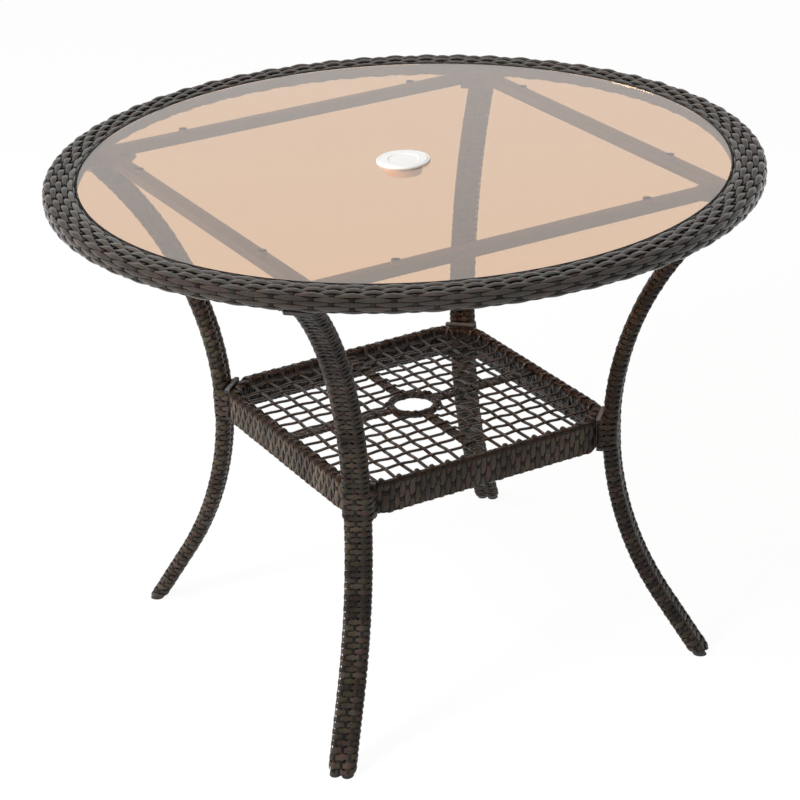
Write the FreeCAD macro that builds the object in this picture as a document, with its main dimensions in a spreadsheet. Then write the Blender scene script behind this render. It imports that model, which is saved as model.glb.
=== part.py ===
import FreeCAD, Part
import math
import os
import Sketcher
from FreeCAD import Placement, Rotation, Vector

# A round woven patio table. A woven rim holds a glass disc with an umbrella hole, four
# curved legs of twin tubes stand on the diagonals, and a square woven shelf with open
# netting hangs between the legs at their neck.
#
# Origin: on the floor, under the middle of the umbrella hole. +Z is up. The shelf's sides
# and the bars under the glass run along X and Y, and the legs stand at 45 degrees to them.

os.makedirs("parts", exist_ok=True)
doc = FreeCAD.newDocument("UmbrellaTable")
sheet = doc.addObject("Spreadsheet::Sheet", "Sizes")

DIMENSIONS = {
    # rim
    "rim_radius": 498.7,
    "rim_width": 47.0,
    "rim_top": 735.0,
    "rim_height": 26.0,
    "rim_wall": 2.2,
    "rim_outer_round": 9.0,
    "rim_inner_round": 2.5,
    "cavity_corner": 5.0,
    "hoop_tube_radius": 10.3,
    "hoop_tube_wall": 1.5,
    "hoop_clearance": 0.3,
    "hoop_vent_radius": 2.5,
    "inner_hoop_thickness": 4.0,
    "spreader_width": 12.0,
    "spreader_height": 10.0,
    # glass and its pads
    "glass_gap": 1.2,
    "glass_drop": 2.0,
    "glass_thickness": 5.0,
    "glass_hole_radius": 26.0,
    "glass_edge_bevel": 0.6,
    "pad_radius": 6.0,
    "pad_height": 5.5,
    "pad_offset": 190.0,
    # umbrella ring and plug
    "sleeve_clearance": 0.4,
    "sleeve_wall": 3.2,
    "sleeve_drop": 15.0,
    "flange_radius": 37.5,
    "flange_height": 3.0,
    "flange_lip": 3.2,
    "flange_floor": 1.5,
    "plug_clearance": 0.4,
    "plug_head_thickness": 1.8,
    "plug_skirt_wall": 2.0,
    "plug_skirt_length": 15.0,
    "plug_dish_depth": 0.7,
    # bars under the glass
    "bar_corner_inset": 15.46,
    "bar_width": 19.0,
    "bar_wall": 1.5,
    "bar_end_gap": 0.3,
    # joint between a leg and the rim
    "gusset_thickness": 4.5,
    "gusset_inboard": 54.8,
    "gusset_shoulder_inboard": 19.8,
    "gusset_ear_outboard": 7.0,
    "gusset_inner_half_width": 21.0,
    "gusset_ear_half_width": 31.0,
    "gusset_nose_half_width": 17.5,
    "boss_radius": 4.0,
    "boss_spacing": 12.0,
    "boss_clearance": 0.3,
    "boss_margin": 2.0,
    "top_plate_thickness": 3.0,
    "top_plate_length": 28.0,
    "top_plate_width": 61.0,
    "bolt_radius": 3.0,
    "bolt_hole_radius": 3.2,
    "bolt_spacing": 24.8,
    "bolt_head_radius": 4.8,
    "bolt_head_height": 4.0,
    "bolt_tip_gap": 0.3,
    # legs
    "leg_top_outset": 8.1,
    "leg_sweep": 169.1,
    "neck_height": 341.6,
    "flare_start": 88.2,
    "leg_trim_reach": 80.0,
    "leg_tube_radius": 8.35,
    "leg_tube_wall": 1.5,
    "leg_tube_spacing": 17.0,
    "leg_wrap_wall": 2.65,
    "leg_wrap_clearance": 0.1,
    "leg_wrap_floor_gap": 4.0,
    "foot_cap_radius": 8.35,
    "foot_cap_height": 14.0,
    "foot_spigot_clearance": 0.3,
    "foot_spigot_length": 12.0,
    # bracket between a leg and the shelf
    "bracket_depth": 17.8,
    "bracket_width": 44.0,
    "bracket_below_top": 48.0,
    "bracket_weld_gap": 0.3,
    "bracket_cap_height": 2.4,
    "lug_wall": 2.3,
    "lug_heel": 6.0,
    # shelf
    "shelf_above_neck": 28.7,
    "shelf_bracket_gap": 0.4,
    "shelf_height": 48.0,
    "shelf_flat_width": 64.8,
    "shelf_bend_radius": 26.0,
    "rail_wrap_wall": 2.3,
    "rail_tube_width": 11.0,
    "rail_tube_wall": 1.5,
    "rail_clearance": 0.15,
    "shelf_bolt_drop": 24.0,
    "shelf_bolt_head_radius": 5.5,
    "shelf_bolt_head_height": 4.0,
    "shelf_bolt_seat": 0.35,
    # cross, centre ring and netting
    "web_drop": 9.5,
    "cross_wrap_width": 18.6,
    "cross_wrap_height": 7.0,
    "cross_bar_width": 14.0,
    "cross_bar_height": 4.0,
    "pole_hole_radius": 28.0,
    "ring_wrap_width": 11.5,
    "ring_wrap_height": 11.0,
    "ring_wrap_wall": 1.8,
    "ring_clearance": 0.1,
    "net_thickness": 2.6,
    "net_strand_width": 6.2,
    "net_pitch": 25.0,
    # how far a cut starts outside the piece, and runs past it
    "cut_margin": 1.0,
}

LEG_ANGLES = {"front": 225.0, "right": 315.0, "back": 45.0, "left": 135.0}
SIDE_ANGLES = {"front_right": 270.0, "back_right": 0.0, "back_left": 90.0, "front_left": 180.0}
SQUARE_ANGLES = (0.0, 90.0, 180.0, 270.0)


class Size:
    """A length or an angle: its value now, and the same written as an expression on the sheet."""

    def __init__(self, value, text):
        self.value = value
        self.text = text

    def __add__(self, other):
        other = as_size(other)
        return Size(self.value + other.value, f"({self.text} + {other.text})")

    def __sub__(self, other):
        other = as_size(other)
        return Size(self.value - other.value, f"({self.text} - {other.text})")

    def __mul__(self, other):
        other = as_size(other)
        return Size(self.value * other.value, f"({self.text} * {other.text})")

    def __truediv__(self, other):
        other = as_size(other)
        return Size(self.value / other.value, f"({self.text} / {other.text})")

    def __neg__(self):
        return Size(-self.value, f"(0 - {self.text})")


def as_size(number):
    if isinstance(number, Size):
        return number
    return Size(float(number), repr(float(number)))


def sine(angle):
    return Size(math.sin(math.radians(angle.value)), f"sin({angle.text} * 1 deg)")


def cosine(angle):
    return Size(math.cos(math.radians(angle.value)), f"cos({angle.text} * 1 deg)")


def arc_sine(ratio):
    return Size(math.degrees(math.asin(ratio.value)), f"asin({ratio.text})")


def root(square):
    return Size(math.sqrt(square.value), f"sqrt({square.text})")


def fill_sheet():
    """Write each driving dimension into a row of the sheet and return them as sizes by name."""
    sizes = {}
    for row, (name, value) in enumerate(DIMENSIONS.items(), start=1):
        sheet.set(f"A{row}", name)
        sheet.set(f"B{row}", str(value))
        sheet.setAlias(f"B{row}", name)
        sizes[name] = Size(value, f"Sizes.{name}")
    doc.recompute()
    return sizes


size = fill_sheet()


# Helpers: bodies, sketches and features whose sizes are bound to the sheet.

def bind(thing, prop, length):
    setattr(thing, prop, length.value)
    thing.setExpression(prop, length.text)


def new_body(label):
    body = doc.addObject("PartDesign::Body", label)
    body.Label = label
    return body


def origin_plane(body, role):
    return next(plane for plane in body.Origin.OriginFeatures if plane.Role == role)


def new_sketch(body, lift=None, role="XY_Plane"):
    """A sketch on one of the body's own planes, raised along its normal."""
    sketch = body.newObject("Sketcher::SketchObject", f"{body.Name}_sketch")
    sketch.AttachmentSupport = (origin_plane(body, role), [""])
    sketch.MapMode = "FlatFace"
    if lift is not None:
        sketch.AttachmentOffset = Placement(Vector(0, 0, lift.value), Rotation())
        sketch.setExpression("AttachmentOffset.Base.z", lift.text)
    return sketch


def pin(sketch, geometry, point, place):
    """Fix one point of the sketch at a place given by two sizes."""
    for kind, length in zip(("DistanceX", "DistanceY"), place):
        length = as_size(length)
        constraint = Sketcher.Constraint(kind, -1, 1, geometry, point, length.value)
        index = sketch.addConstraint(constraint)
        sketch.setExpression(f"Constraints[{index}]", length.text)


def to_vector(place):
    return Vector(as_size(place[0]).value, as_size(place[1]).value, 0)


def draw_circle(sketch, centre, radius):
    circle = Part.Circle(to_vector(centre), Vector(0, 0, 1), radius.value)
    geometry = sketch.addGeometry(circle, False)
    pin(sketch, geometry, 3, centre)
    index = sketch.addConstraint(Sketcher.Constraint("Radius", geometry, radius.value))
    sketch.setExpression(f"Constraints[{index}]", radius.text)


def draw_loop(sketch, corners, centres=None):
    """A closed anticlockwise outline. The side after corner i is an arc where centres has i."""
    centres = centres or {}
    first = sketch.GeometryCount
    count = len(corners)
    for i, corner in enumerate(corners):
        start = to_vector(corner)
        end = to_vector(corners[(i + 1) % count])
        if i in centres:
            middle = to_vector(centres[i])
            spoke = start - middle
            begin_angle = math.atan2(spoke.y, spoke.x)
            end_angle = math.atan2(end.y - middle.y, end.x - middle.x)
            circle = Part.Circle(middle, Vector(0, 0, 1), spoke.Length)
            sketch.addGeometry(Part.ArcOfCircle(circle, begin_angle, end_angle), False)
        else:
            sketch.addGeometry(Part.LineSegment(start, end), False)
    for i, corner in enumerate(corners):
        following = first + (i + 1) % count
        sketch.addConstraint(Sketcher.Constraint("Coincident", first + i, 2, following, 1))
        pin(sketch, first + i, 1, corner)
    for i, centre in centres.items():
        pin_centre(sketch, first + i, corners[i], corners[(i + 1) % count], centre)


def pin_centre(sketch, geometry, start, end, centre):
    """The arc's ends are fixed, so one coordinate of its centre is left, the one along the bisector."""
    chord = to_vector(end) - to_vector(start)
    kind, length = ("DistanceX", centre[0])
    if abs(chord.x) > abs(chord.y):
        kind, length = ("DistanceY", centre[1])
    length = as_size(length)
    index = sketch.addConstraint(Sketcher.Constraint(kind, -1, 1, geometry, 3, length.value))
    sketch.setExpression(f"Constraints[{index}]", length.text)


def draw_rectangle(sketch, low, high):
    draw_loop(sketch, [low, (high[0], low[1]), high, (low[0], high[1])])


def draw_slot(sketch, centre_x, half_run, radius):
    """Two half circles joined by straight sides along the sketch's Y."""
    right, left = centre_x + radius, centre_x - radius
    corners = [(right, -half_run), (right, half_run), (left, half_run), (left, -half_run)]
    draw_loop(sketch, corners, {1: (centre_x, half_run), 3: (centre_x, -half_run)})


def add_pad(body, sketch, length, down=False):
    pad = body.newObject("PartDesign::Pad", f"{body.Name}_pad")
    pad.Profile = sketch
    bind(pad, "Length", length)
    pad.Reversed = down
    return pad


def add_pocket(body, sketch, length, up=False):
    """A cut of the given depth, down from the sketch unless it is asked to go up."""
    pocket = body.newObject("PartDesign::Pocket", f"{body.Name}_pocket")
    pocket.Profile = sketch
    bind(pocket, "Length", length)
    pocket.Reversed = up
    return pocket


def add_ring(body, sketch):
    """A full turn about the body's upright axis."""
    ring = body.newObject("PartDesign::Revolution", f"{body.Name}_ring")
    ring.Profile = sketch
    ring.ReferenceAxis = (sketch, ["V_Axis"])
    ring.Angle = 360.0
    return ring


def round_rings(body, feature, edges_at, radius):
    """Round the circular edges that lie at the given radii and heights."""
    doc.recompute()
    names = []
    for number, edge in enumerate(feature.Shape.Edges, start=1):
        if not isinstance(edge.Curve, Part.Circle):
            continue
        place = (edge.Curve.Radius, edge.Curve.Center.z)
        if any(math.dist(place, (at[0].value, at[1].value)) < 0.01 for at in edges_at):
            names.append(f"Edge{number}")
    fillet = body.newObject("PartDesign::Fillet", f"{body.Name}_fillet")
    fillet.Base = (feature, names)
    bind(fillet, "Radius", radius)
    return fillet


def turn(thing, angle):
    thing.Placement = Placement(Vector(0, 0, 0), Rotation(Vector(0, 0, 1), angle))


def cut_from(label, base, tools):
    """The base with every tool cut away. The result takes the label, which names its file."""
    fused = tools[0]
    if len(tools) > 1:
        fused = doc.addObject("Part::MultiFuse", f"{label}_tools")
        fused.Shapes = tools
    result = doc.addObject("Part::Cut", label)
    result.Base = base
    result.Tool = fused
    result.Label = label
    return result


def cylinder_tool(name, radius, length, base, angle):
    """A cylinder that lies along the spoke at the given angle, from its inner end outward."""
    tool = doc.addObject("Part::Cylinder", name)
    bind(tool, "Radius", radius)
    bind(tool, "Height", length)
    spoke = Rotation(Vector(0, 0, 1), angle).multiply(Rotation(Vector(0, 1, 0), 90))
    direction = Rotation(Vector(0, 0, 1), angle).multVec(Vector(1, 0, 0))
    start = direction * base[0].value + Vector(0, 0, base[1].value)
    tool.Placement = Placement(start, spoke)
    tool.setExpression("Placement.Base.x", (base[0] * direction.x).text)
    tool.setExpression("Placement.Base.y", (base[0] * direction.y).text)
    tool.setExpression("Placement.Base.z", base[1].text)
    return tool


# Places that several pieces share, worked out from the driving dimensions.

rim_bottom = size["rim_top"] - size["rim_height"]
rim_inner_radius = size["rim_radius"] - size["rim_width"]
glass_top = size["rim_top"] - size["glass_drop"]
glass_bottom = glass_top - size["glass_thickness"]
bar_top = glass_bottom - size["pad_height"]
bar_height = bar_top - rim_bottom
hoop_height = rim_bottom + size["rim_height"] / 2
hoop_fit = size["hoop_tube_radius"] + size["hoop_clearance"]
hoop_radius = size["rim_radius"] - size["rim_wall"] - hoop_fit
inner_hoop_start = rim_inner_radius + size["rim_wall"] + size["hoop_clearance"]
inner_hoop_end = inner_hoop_start + size["inner_hoop_thickness"]

top_plate_top = rim_bottom - size["gusset_thickness"]
leg_top = top_plate_top - size["top_plate_thickness"]
leg_top_reach = rim_inner_radius + size["leg_top_outset"]
neck_radius = leg_top_reach - size["leg_sweep"]
leg_rise = leg_top - size["neck_height"]
leg_arc_radius = (leg_rise * leg_rise + size["leg_sweep"] * size["leg_sweep"]) / (size["leg_sweep"] * 2)
leg_axis_reach = neck_radius + leg_arc_radius
flare_sine = (size["neck_height"] - size["flare_start"]) / leg_arc_radius
flare_cosine = root(as_size(1.0) - flare_sine * flare_sine)
flare_angle = arc_sine(flare_sine)
flare_reach = leg_axis_reach - leg_arc_radius * flare_cosine
flare_run = size["flare_start"] / flare_cosine
leg_half_spacing = size["leg_tube_spacing"] / 2
leg_cavity_radius = size["leg_tube_radius"] + size["leg_wrap_clearance"]
leg_wrap_radius = leg_cavity_radius + size["leg_wrap_wall"]
leg_tube_run = flare_run - size["foot_cap_height"]

bar_distance = (leg_top_reach - size["bar_corner_inset"]) / root(as_size(2.0))
bar_inner = bar_distance - size["bar_width"] / 2
bar_outer = bar_distance + size["bar_width"] / 2
gusset_inner_reach = leg_top_reach - size["gusset_inboard"]
gusset_shoulder = leg_top_reach - size["gusset_shoulder_inboard"]
gusset_ear_end = leg_top_reach + size["gusset_ear_outboard"]
gusset_outer_reach = hoop_radius + size["boss_radius"] + size["boss_margin"]

shelf_top = size["neck_height"] + size["shelf_above_neck"]
shelf_bottom = shelf_top - size["shelf_height"]
shelf_bolt_height = shelf_top - size["shelf_bolt_drop"]
web_height = shelf_top - size["web_drop"]
bracket_inner_reach = neck_radius - size["bracket_depth"]
bracket_outer_reach = neck_radius - size["leg_tube_radius"] - size["bracket_weld_gap"]
bracket_top = shelf_top - size["shelf_bracket_gap"]
bracket_bottom = bracket_top - size["bracket_below_top"]
shelf_corner_reach = bracket_inner_reach - size["shelf_bracket_gap"]
shelf_half_width = (shelf_corner_reach + size["shelf_flat_width"] / 2) / root(as_size(2.0))
shelf_bend_gain = size["shelf_bend_radius"] * (root(as_size(2.0)) - 1)
shelf_side_end = shelf_corner_reach * root(as_size(2.0)) - shelf_half_width - shelf_bend_gain
shelf_bend_reach = shelf_half_width - size["shelf_bend_radius"]
rail_width = size["rail_tube_width"] + size["rail_wrap_wall"] * 2
rail_inner = shelf_half_width - rail_width
rail_tube_outer = shelf_half_width - size["rail_wrap_wall"]
rail_tube_inner = rail_tube_outer - size["rail_tube_width"]
shelf_corner_inner = shelf_corner_reach - rail_width

ring_wrap_outer = size["pole_hole_radius"] + size["ring_wrap_width"]
ring_steel_inner = size["pole_hole_radius"] + size["ring_wrap_wall"] + size["ring_clearance"]
ring_steel_outer = ring_wrap_outer - size["ring_wrap_wall"] - size["ring_clearance"]
ring_steel_height = size["ring_wrap_height"] - (size["ring_wrap_wall"] + size["ring_clearance"]) * 2


# Rim

def make_rim_wicker():
    """The woven skin of the rim: a hollow ring, rounded outside, with holes for the gusset bosses."""
    body = new_body("rim_wicker")
    profile = new_sketch(body, role="XZ_Plane")
    draw_rectangle(profile, (rim_inner_radius, rim_bottom), (size["rim_radius"], size["rim_top"]))
    inside = rim_inner_radius + size["rim_wall"]
    outside = size["rim_radius"] - size["rim_wall"]
    floor = rim_bottom + size["rim_wall"]
    ceiling = size["rim_top"] - size["rim_wall"]
    corner = size["cavity_corner"]
    draw_loop(profile, [
        (inside, floor), (outside - corner, floor), (outside, floor + corner),
        (outside, ceiling - corner), (outside - corner, ceiling), (inside, ceiling),
    ])
    ring = add_ring(body, profile)
    outer_edges = [(size["rim_radius"], rim_bottom), (size["rim_radius"], size["rim_top"])]
    rounded = round_rings(body, ring, outer_edges, size["rim_outer_round"])
    inner_edges = [(rim_inner_radius, rim_bottom), (rim_inner_radius, size["rim_top"])]
    round_rings(body, rounded, inner_edges, size["rim_inner_round"])
    holes = new_sketch(body, rim_bottom)
    for angle in LEG_ANGLES.values():
        for centre in boss_centres(as_size(angle)):
            draw_circle(holes, centre, size["boss_radius"] + size["boss_clearance"])
    add_pocket(body, holes, size["rim_wall"] + size["boss_clearance"], up=True)


def boss_centres(angle):
    """The two bosses of the gusset at this angle stand on the hoop's circle, either side of the leg."""
    offsets = (size["boss_spacing"], -size["boss_spacing"])
    places = []
    for offset in offsets:
        x = hoop_radius * cosine(angle) - offset * sine(angle)
        y = hoop_radius * sine(angle) + offset * cosine(angle)
        places.append((x, y))
    return places


def make_rim_outer_hoop():
    """A round steel tube bent into a hoop, with one weld vent on its underside."""
    body = new_body("rim_outer_hoop")
    profile = new_sketch(body, role="XZ_Plane")
    draw_circle(profile, (hoop_radius, hoop_height), size["hoop_tube_radius"])
    bore = size["hoop_tube_radius"] - size["hoop_tube_wall"]
    draw_circle(profile, (hoop_radius, hoop_height), bore)
    add_ring(body, profile)
    vent = new_sketch(body, hoop_height)
    draw_circle(vent, (hoop_radius, 0), size["hoop_vent_radius"])
    add_pocket(body, vent, size["hoop_tube_radius"] + size["cut_margin"])


def make_rim_inner_hoop():
    """A flat steel strip on edge, bent into a hoop, behind the wicker that faces the glass."""
    body = new_body("rim_inner_hoop")
    profile = new_sketch(body, role="XZ_Plane")
    margin = size["rim_wall"] + size["hoop_clearance"]
    low = (inner_hoop_start, rim_bottom + margin)
    high = (inner_hoop_end, size["rim_top"] - margin)
    draw_rectangle(profile, low, high)
    add_ring(body, profile)


def make_rim_spreaders():
    """Eight short flats that hold the two hoops apart."""
    body = new_body("rim_spreaders")
    sketch = new_sketch(body, hoop_height - size["spreader_height"] / 2)
    reach = hoop_radius - size["hoop_tube_radius"] - size["hoop_clearance"]
    half = size["spreader_width"] / 2
    for number in range(8):
        angle = as_size(22.5 + 45.0 * number)
        corners = []
        start = root(inner_hoop_end * inner_hoop_end - half * half) + size["hoop_clearance"]
        for along, across in ((start, -half), (reach, -half), (reach, half), (start, half)):
            x = along * cosine(angle) - across * sine(angle)
            y = along * sine(angle) + across * cosine(angle)
            corners.append((x, y))
        draw_loop(sketch, corners)
    add_pad(body, sketch, size["spreader_height"])


# Glass, pads and umbrella fitting

def make_glass():
    """The glass disc, with its edges and the hole's edges lightly bevelled."""
    body = new_body("glass_top")
    profile = new_sketch(body, role="XZ_Plane")
    rim = rim_inner_radius - size["glass_gap"]
    hole = size["glass_hole_radius"]
    bevel = size["glass_edge_bevel"]
    draw_loop(profile, [
        (hole + bevel, glass_bottom), (rim - bevel, glass_bottom), (rim, glass_bottom + bevel),
        (rim, glass_top - bevel), (rim - bevel, glass_top), (hole + bevel, glass_top),
        (hole, glass_top - bevel), (hole, glass_bottom + bevel),
    ])
    add_ring(body, profile)


def make_glass_pads():
    """Eight clear pads on the bars, two to a bar, that the glass lies on."""
    body = new_body("glass_pads")
    sketch = new_sketch(body, bar_top)
    far, near = bar_distance, size["pad_offset"]
    for x, y in ((far, near), (far, -near), (-far, near), (-far, -near),
                 (near, far), (near, -far), (-near, far), (-near, -far)):
        draw_circle(sketch, (x, y), size["pad_radius"])
    add_pad(body, sketch, size["pad_height"])


sleeve_outer = size["glass_hole_radius"] - size["sleeve_clearance"]
sleeve_inner = sleeve_outer - size["sleeve_wall"]
recess_radius = size["flange_radius"] - size["flange_lip"]
recess_floor = glass_top + size["flange_floor"]


def make_umbrella_ring():
    """The white ring: a flange on the glass with a raised lip, and a sleeve through the hole."""
    body = new_body("umbrella_ring")
    profile = new_sketch(body, role="XZ_Plane")
    flange_top = glass_top + size["flange_height"]
    draw_loop(profile, [
        (sleeve_inner, glass_bottom - size["sleeve_drop"]),
        (sleeve_outer, glass_bottom - size["sleeve_drop"]),
        (sleeve_outer, glass_top), (size["flange_radius"], glass_top),
        (size["flange_radius"], flange_top - 1), (size["flange_radius"] - 1, flange_top),
        (recess_radius, flange_top), (recess_radius, recess_floor), (sleeve_inner, recess_floor),
    ])
    add_ring(body, profile)


def make_umbrella_plug():
    """The plug that closes the ring: a dished head on the recess floor and a hollow skirt."""
    body = new_body("umbrella_plug")
    profile = new_sketch(body, role="XZ_Plane")
    head = recess_radius - size["plug_clearance"]
    skirt = sleeve_inner - size["plug_clearance"]
    bore = skirt - size["plug_skirt_wall"]
    head_top = recess_floor + size["plug_head_thickness"]
    dish_top = head_top - size["plug_dish_depth"]
    skirt_end = recess_floor - size["plug_skirt_length"]
    draw_loop(profile, [
        (0, recess_floor), (bore, recess_floor), (bore, skirt_end), (skirt, skirt_end),
        (skirt, recess_floor), (head, recess_floor), (head, head_top - 0.6),
        (head - 0.6, head_top), (skirt, head_top), (bore, dish_top), (0, dish_top),
    ])
    add_ring(body, profile)


# Bars under the glass

def make_bar(side, angle):
    """A rectangular tube, mitred to its neighbours and cut round where it meets the rim."""
    body = new_body(f"support_bar_{side}")
    section = new_sketch(body, role="XZ_Plane")
    draw_rectangle(section, (bar_inner, rim_bottom), (bar_outer, bar_top))
    wall = size["bar_wall"]
    draw_rectangle(section, (bar_inner + wall, rim_bottom + wall), (bar_outer - wall, bar_top - wall))
    pad = add_pad(body, section, bar_outer * 2)
    pad.SideType = "Symmetric"
    margin = size["cut_margin"]
    mitre = new_sketch(body, rim_bottom - margin)
    near, far = bar_inner - size["bar_width"], bar_outer + size["bar_width"]
    slip = size["bar_end_gap"] / 2
    draw_loop(mitre, [(near, near - slip), (far, far - slip), (near, far - slip)])
    draw_loop(mitre, [(near, slip - near), (near, slip - far), (far, slip - far)])
    add_pocket(body, mitre, bar_height + margin * 2, up=True)
    trim = new_sketch(body, rim_bottom - margin)
    draw_circle(trim, (0, 0), size["rim_radius"] + size["bar_width"])
    draw_circle(trim, (0, 0), rim_inner_radius - size["bar_end_gap"])
    add_pocket(body, trim, bar_height + margin * 2, up=True)
    turn(body, angle)


# Joint between a leg and the rim

def make_gusset(name, angle):
    """A steel plate under the bars' corner and the rim. Its nose has two bosses up to the outer hoop."""
    body = new_body(f"corner_gusset_{name}")
    sketch = new_sketch(body, top_plate_top)
    inner, ear = size["gusset_inner_half_width"], size["gusset_ear_half_width"]
    nose = size["gusset_nose_half_width"]
    draw_loop(sketch, [
        (gusset_inner_reach, -inner), (gusset_shoulder, -ear), (gusset_ear_end, -ear),
        (gusset_outer_reach, -nose), (gusset_outer_reach, nose),
        (gusset_ear_end, ear), (gusset_shoulder, ear), (gusset_inner_reach, inner),
    ])
    for side in (1, -1):
        draw_circle(sketch, (leg_top_reach, size["bolt_spacing"] * side), size["bolt_hole_radius"])
    add_pad(body, sketch, size["gusset_thickness"])
    bosses = new_sketch(body, rim_bottom)
    for side in (1, -1):
        draw_circle(bosses, (hoop_radius, size["boss_spacing"] * side), size["boss_radius"])
    add_pad(body, bosses, size["rim_wall"])
    turn(body, angle)


def make_top_plate(name, angle):
    """The plate welded across the tops of a leg's two tubes."""
    body = new_body(f"leg_top_plate_{name}")
    sketch = new_sketch(body, leg_top)
    half_length, half_width = size["top_plate_length"] / 2, size["top_plate_width"] / 2
    low = (leg_top_reach - half_length, -half_width)
    draw_rectangle(sketch, low, (leg_top_reach + half_length, half_width))
    for side in (1, -1):
        draw_circle(sketch, (leg_top_reach, size["bolt_spacing"] * side), size["bolt_hole_radius"])
    add_pad(body, sketch, size["top_plate_thickness"])
    turn(body, angle)


def make_leg_bolts():
    """Eight bolts, two to a leg, up through the top plate into the gusset."""
    body = new_body("leg_bolts")
    shanks = new_sketch(body, leg_top)
    heads = new_sketch(body, leg_top)
    for angle in LEG_ANGLES.values():
        angle = as_size(angle)
        for side in (1, -1):
            offset = size["bolt_spacing"] * side
            x = leg_top_reach * cosine(angle) - offset * sine(angle)
            y = leg_top_reach * sine(angle) + offset * cosine(angle)
            draw_circle(shanks, (x, y), size["bolt_radius"])
            draw_circle(heads, (x, y), size["bolt_head_radius"])
    grip = size["top_plate_thickness"] + size["gusset_thickness"]
    add_pad(body, shanks, grip - size["bolt_tip_gap"])
    add_pad(body, heads, size["bolt_head_height"], down=True)


# Legs: an arc through the neck, and a straight flare from the arc's lower end to the floor.

def add_leg_arc(body, kind, draw):
    """Turn a section, drawn level at the neck, about the arc's axis: up past the top, down to the flare."""
    sketch = new_sketch(body, size["neck_height"])
    draw(sketch, neck_radius)
    axis = sketch.addGeometry(Part.LineSegment(
        Vector(leg_axis_reach.value, -10, 0), Vector(leg_axis_reach.value, 10, 0)), True)
    pin(sketch, axis, 1, (leg_axis_reach, -10))
    pin(sketch, axis, 2, (leg_axis_reach, 10))
    arc = body.newObject(kind, f"{body.Name}_arc")
    arc.Profile = sketch
    arc.ReferenceAxis = (sketch, ["Axis0"])
    arc.Type = "TwoAngles"
    overrun = (leg_rise + leg_wrap_radius * 1.25) / leg_arc_radius
    bind(arc, "Angle", arc_sine(overrun))
    bind(arc, "Angle2", flare_angle)
    return arc


def flare_sketch(body, run):
    """A sketch square to the flare, at the given distance down it from the arc's end."""
    sketch = body.newObject("Sketcher::SketchObject", f"{body.Name}_flare")
    sketch.AttachmentSupport = (origin_plane(body, "XY_Plane"), [""])
    sketch.MapMode = "FlatFace"
    x = flare_reach + run * flare_sine
    z = size["flare_start"] - run * flare_cosine
    tilt = Rotation(Vector(0, 1, 0), -flare_angle.value)
    sketch.AttachmentOffset = Placement(Vector(x.value, 0, z.value), tilt)
    sketch.setExpression("AttachmentOffset.Base.x", x.text)
    sketch.setExpression("AttachmentOffset.Base.z", z.text)
    sketch.setExpression("AttachmentOffset.Rotation.Angle", f"-1 * {flare_angle.text}")
    return sketch


def trim_leg_top(body):
    sketch = new_sketch(body, leg_top)
    half = size["leg_trim_reach"]
    draw_rectangle(sketch, (leg_top_reach - half, -half), (leg_top_reach + half, half))
    add_pocket(body, sketch, half, up=True)


def trim_leg_foot(body, height):
    """Cut away whatever reaches below the given height at the leg's foot."""
    sketch = new_sketch(body, height)
    middle = flare_reach + flare_run * flare_sine
    half = size["leg_trim_reach"]
    draw_rectangle(sketch, (middle - half, -half), (middle + half, half))
    add_pocket(body, sketch, half)


def draw_tube_pair(radius, bore=None):
    """Draw the section of the leg's two tubes, side by side across the spoke."""
    def draw(sketch, reach):
        for side in (1, -1):
            draw_circle(sketch, (reach, leg_half_spacing * side), radius)
            if bore is not None:
                draw_circle(sketch, (reach, leg_half_spacing * side), bore)
    return draw


def draw_wrap(radius):
    def draw(sketch, reach):
        draw_slot(sketch, as_size(reach), leg_half_spacing, radius)
    return draw


def make_leg_tubes(name, angle):
    """Two steel tubes side by side. They end a foot cap's height above the floor."""
    body = new_body(f"leg_tubes_{name}")
    draw = draw_tube_pair(size["leg_tube_radius"], size["leg_tube_radius"] - size["leg_tube_wall"])
    add_leg_arc(body, "PartDesign::Revolution", draw)
    flare = flare_sketch(body, as_size(0))
    draw(flare, 0)
    add_pad(body, flare, leg_tube_run, down=True)
    trim_leg_top(body)
    turn(body, angle)


def make_leg_wicker(name, angle):
    """The woven wrap of a leg, with the lug that wraps the shelf bracket at the neck."""
    body = new_body(f"leg_wicker_{name}")
    add_leg_arc(body, "PartDesign::Revolution", draw_wrap(leg_wrap_radius))
    flare = flare_sketch(body, as_size(0))
    draw_wrap(leg_wrap_radius)(flare, 0)
    past_floor = flare_run + leg_wrap_radius
    add_pad(body, flare, past_floor, down=True)
    lug_half = size["bracket_width"] / 2 + size["lug_wall"]
    lug = new_sketch(body, bracket_bottom - size["lug_wall"])
    heel = neck_radius + size["lug_heel"]
    draw_loop(lug, [
        (bracket_inner_reach, -lug_half), (bracket_outer_reach, -lug_half),
        (heel, -leg_half_spacing), (heel, leg_half_spacing),
        (bracket_outer_reach, lug_half), (bracket_inner_reach, lug_half),
    ])
    add_pad(body, lug, size["bracket_below_top"] + size["lug_wall"])
    add_leg_arc(body, "PartDesign::Groove", draw_wrap(leg_cavity_radius))
    inside = flare_sketch(body, as_size(0))
    draw_wrap(leg_cavity_radius)(inside, 0)
    add_pocket(body, inside, past_floor + size["cut_margin"])
    pocket = new_sketch(body, bracket_bottom - size["bracket_weld_gap"] / 2)
    gap = size["bracket_weld_gap"] / 2
    half = size["bracket_width"] / 2 + gap
    low = (bracket_inner_reach - size["cut_margin"], -half)
    draw_rectangle(pocket, low, (bracket_outer_reach + gap, half))
    add_pocket(body, pocket, size["bracket_below_top"] + size["cut_margin"], up=True)
    trim_leg_top(body)
    trim_leg_foot(body, size["leg_wrap_floor_gap"])
    turn(body, angle)


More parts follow.
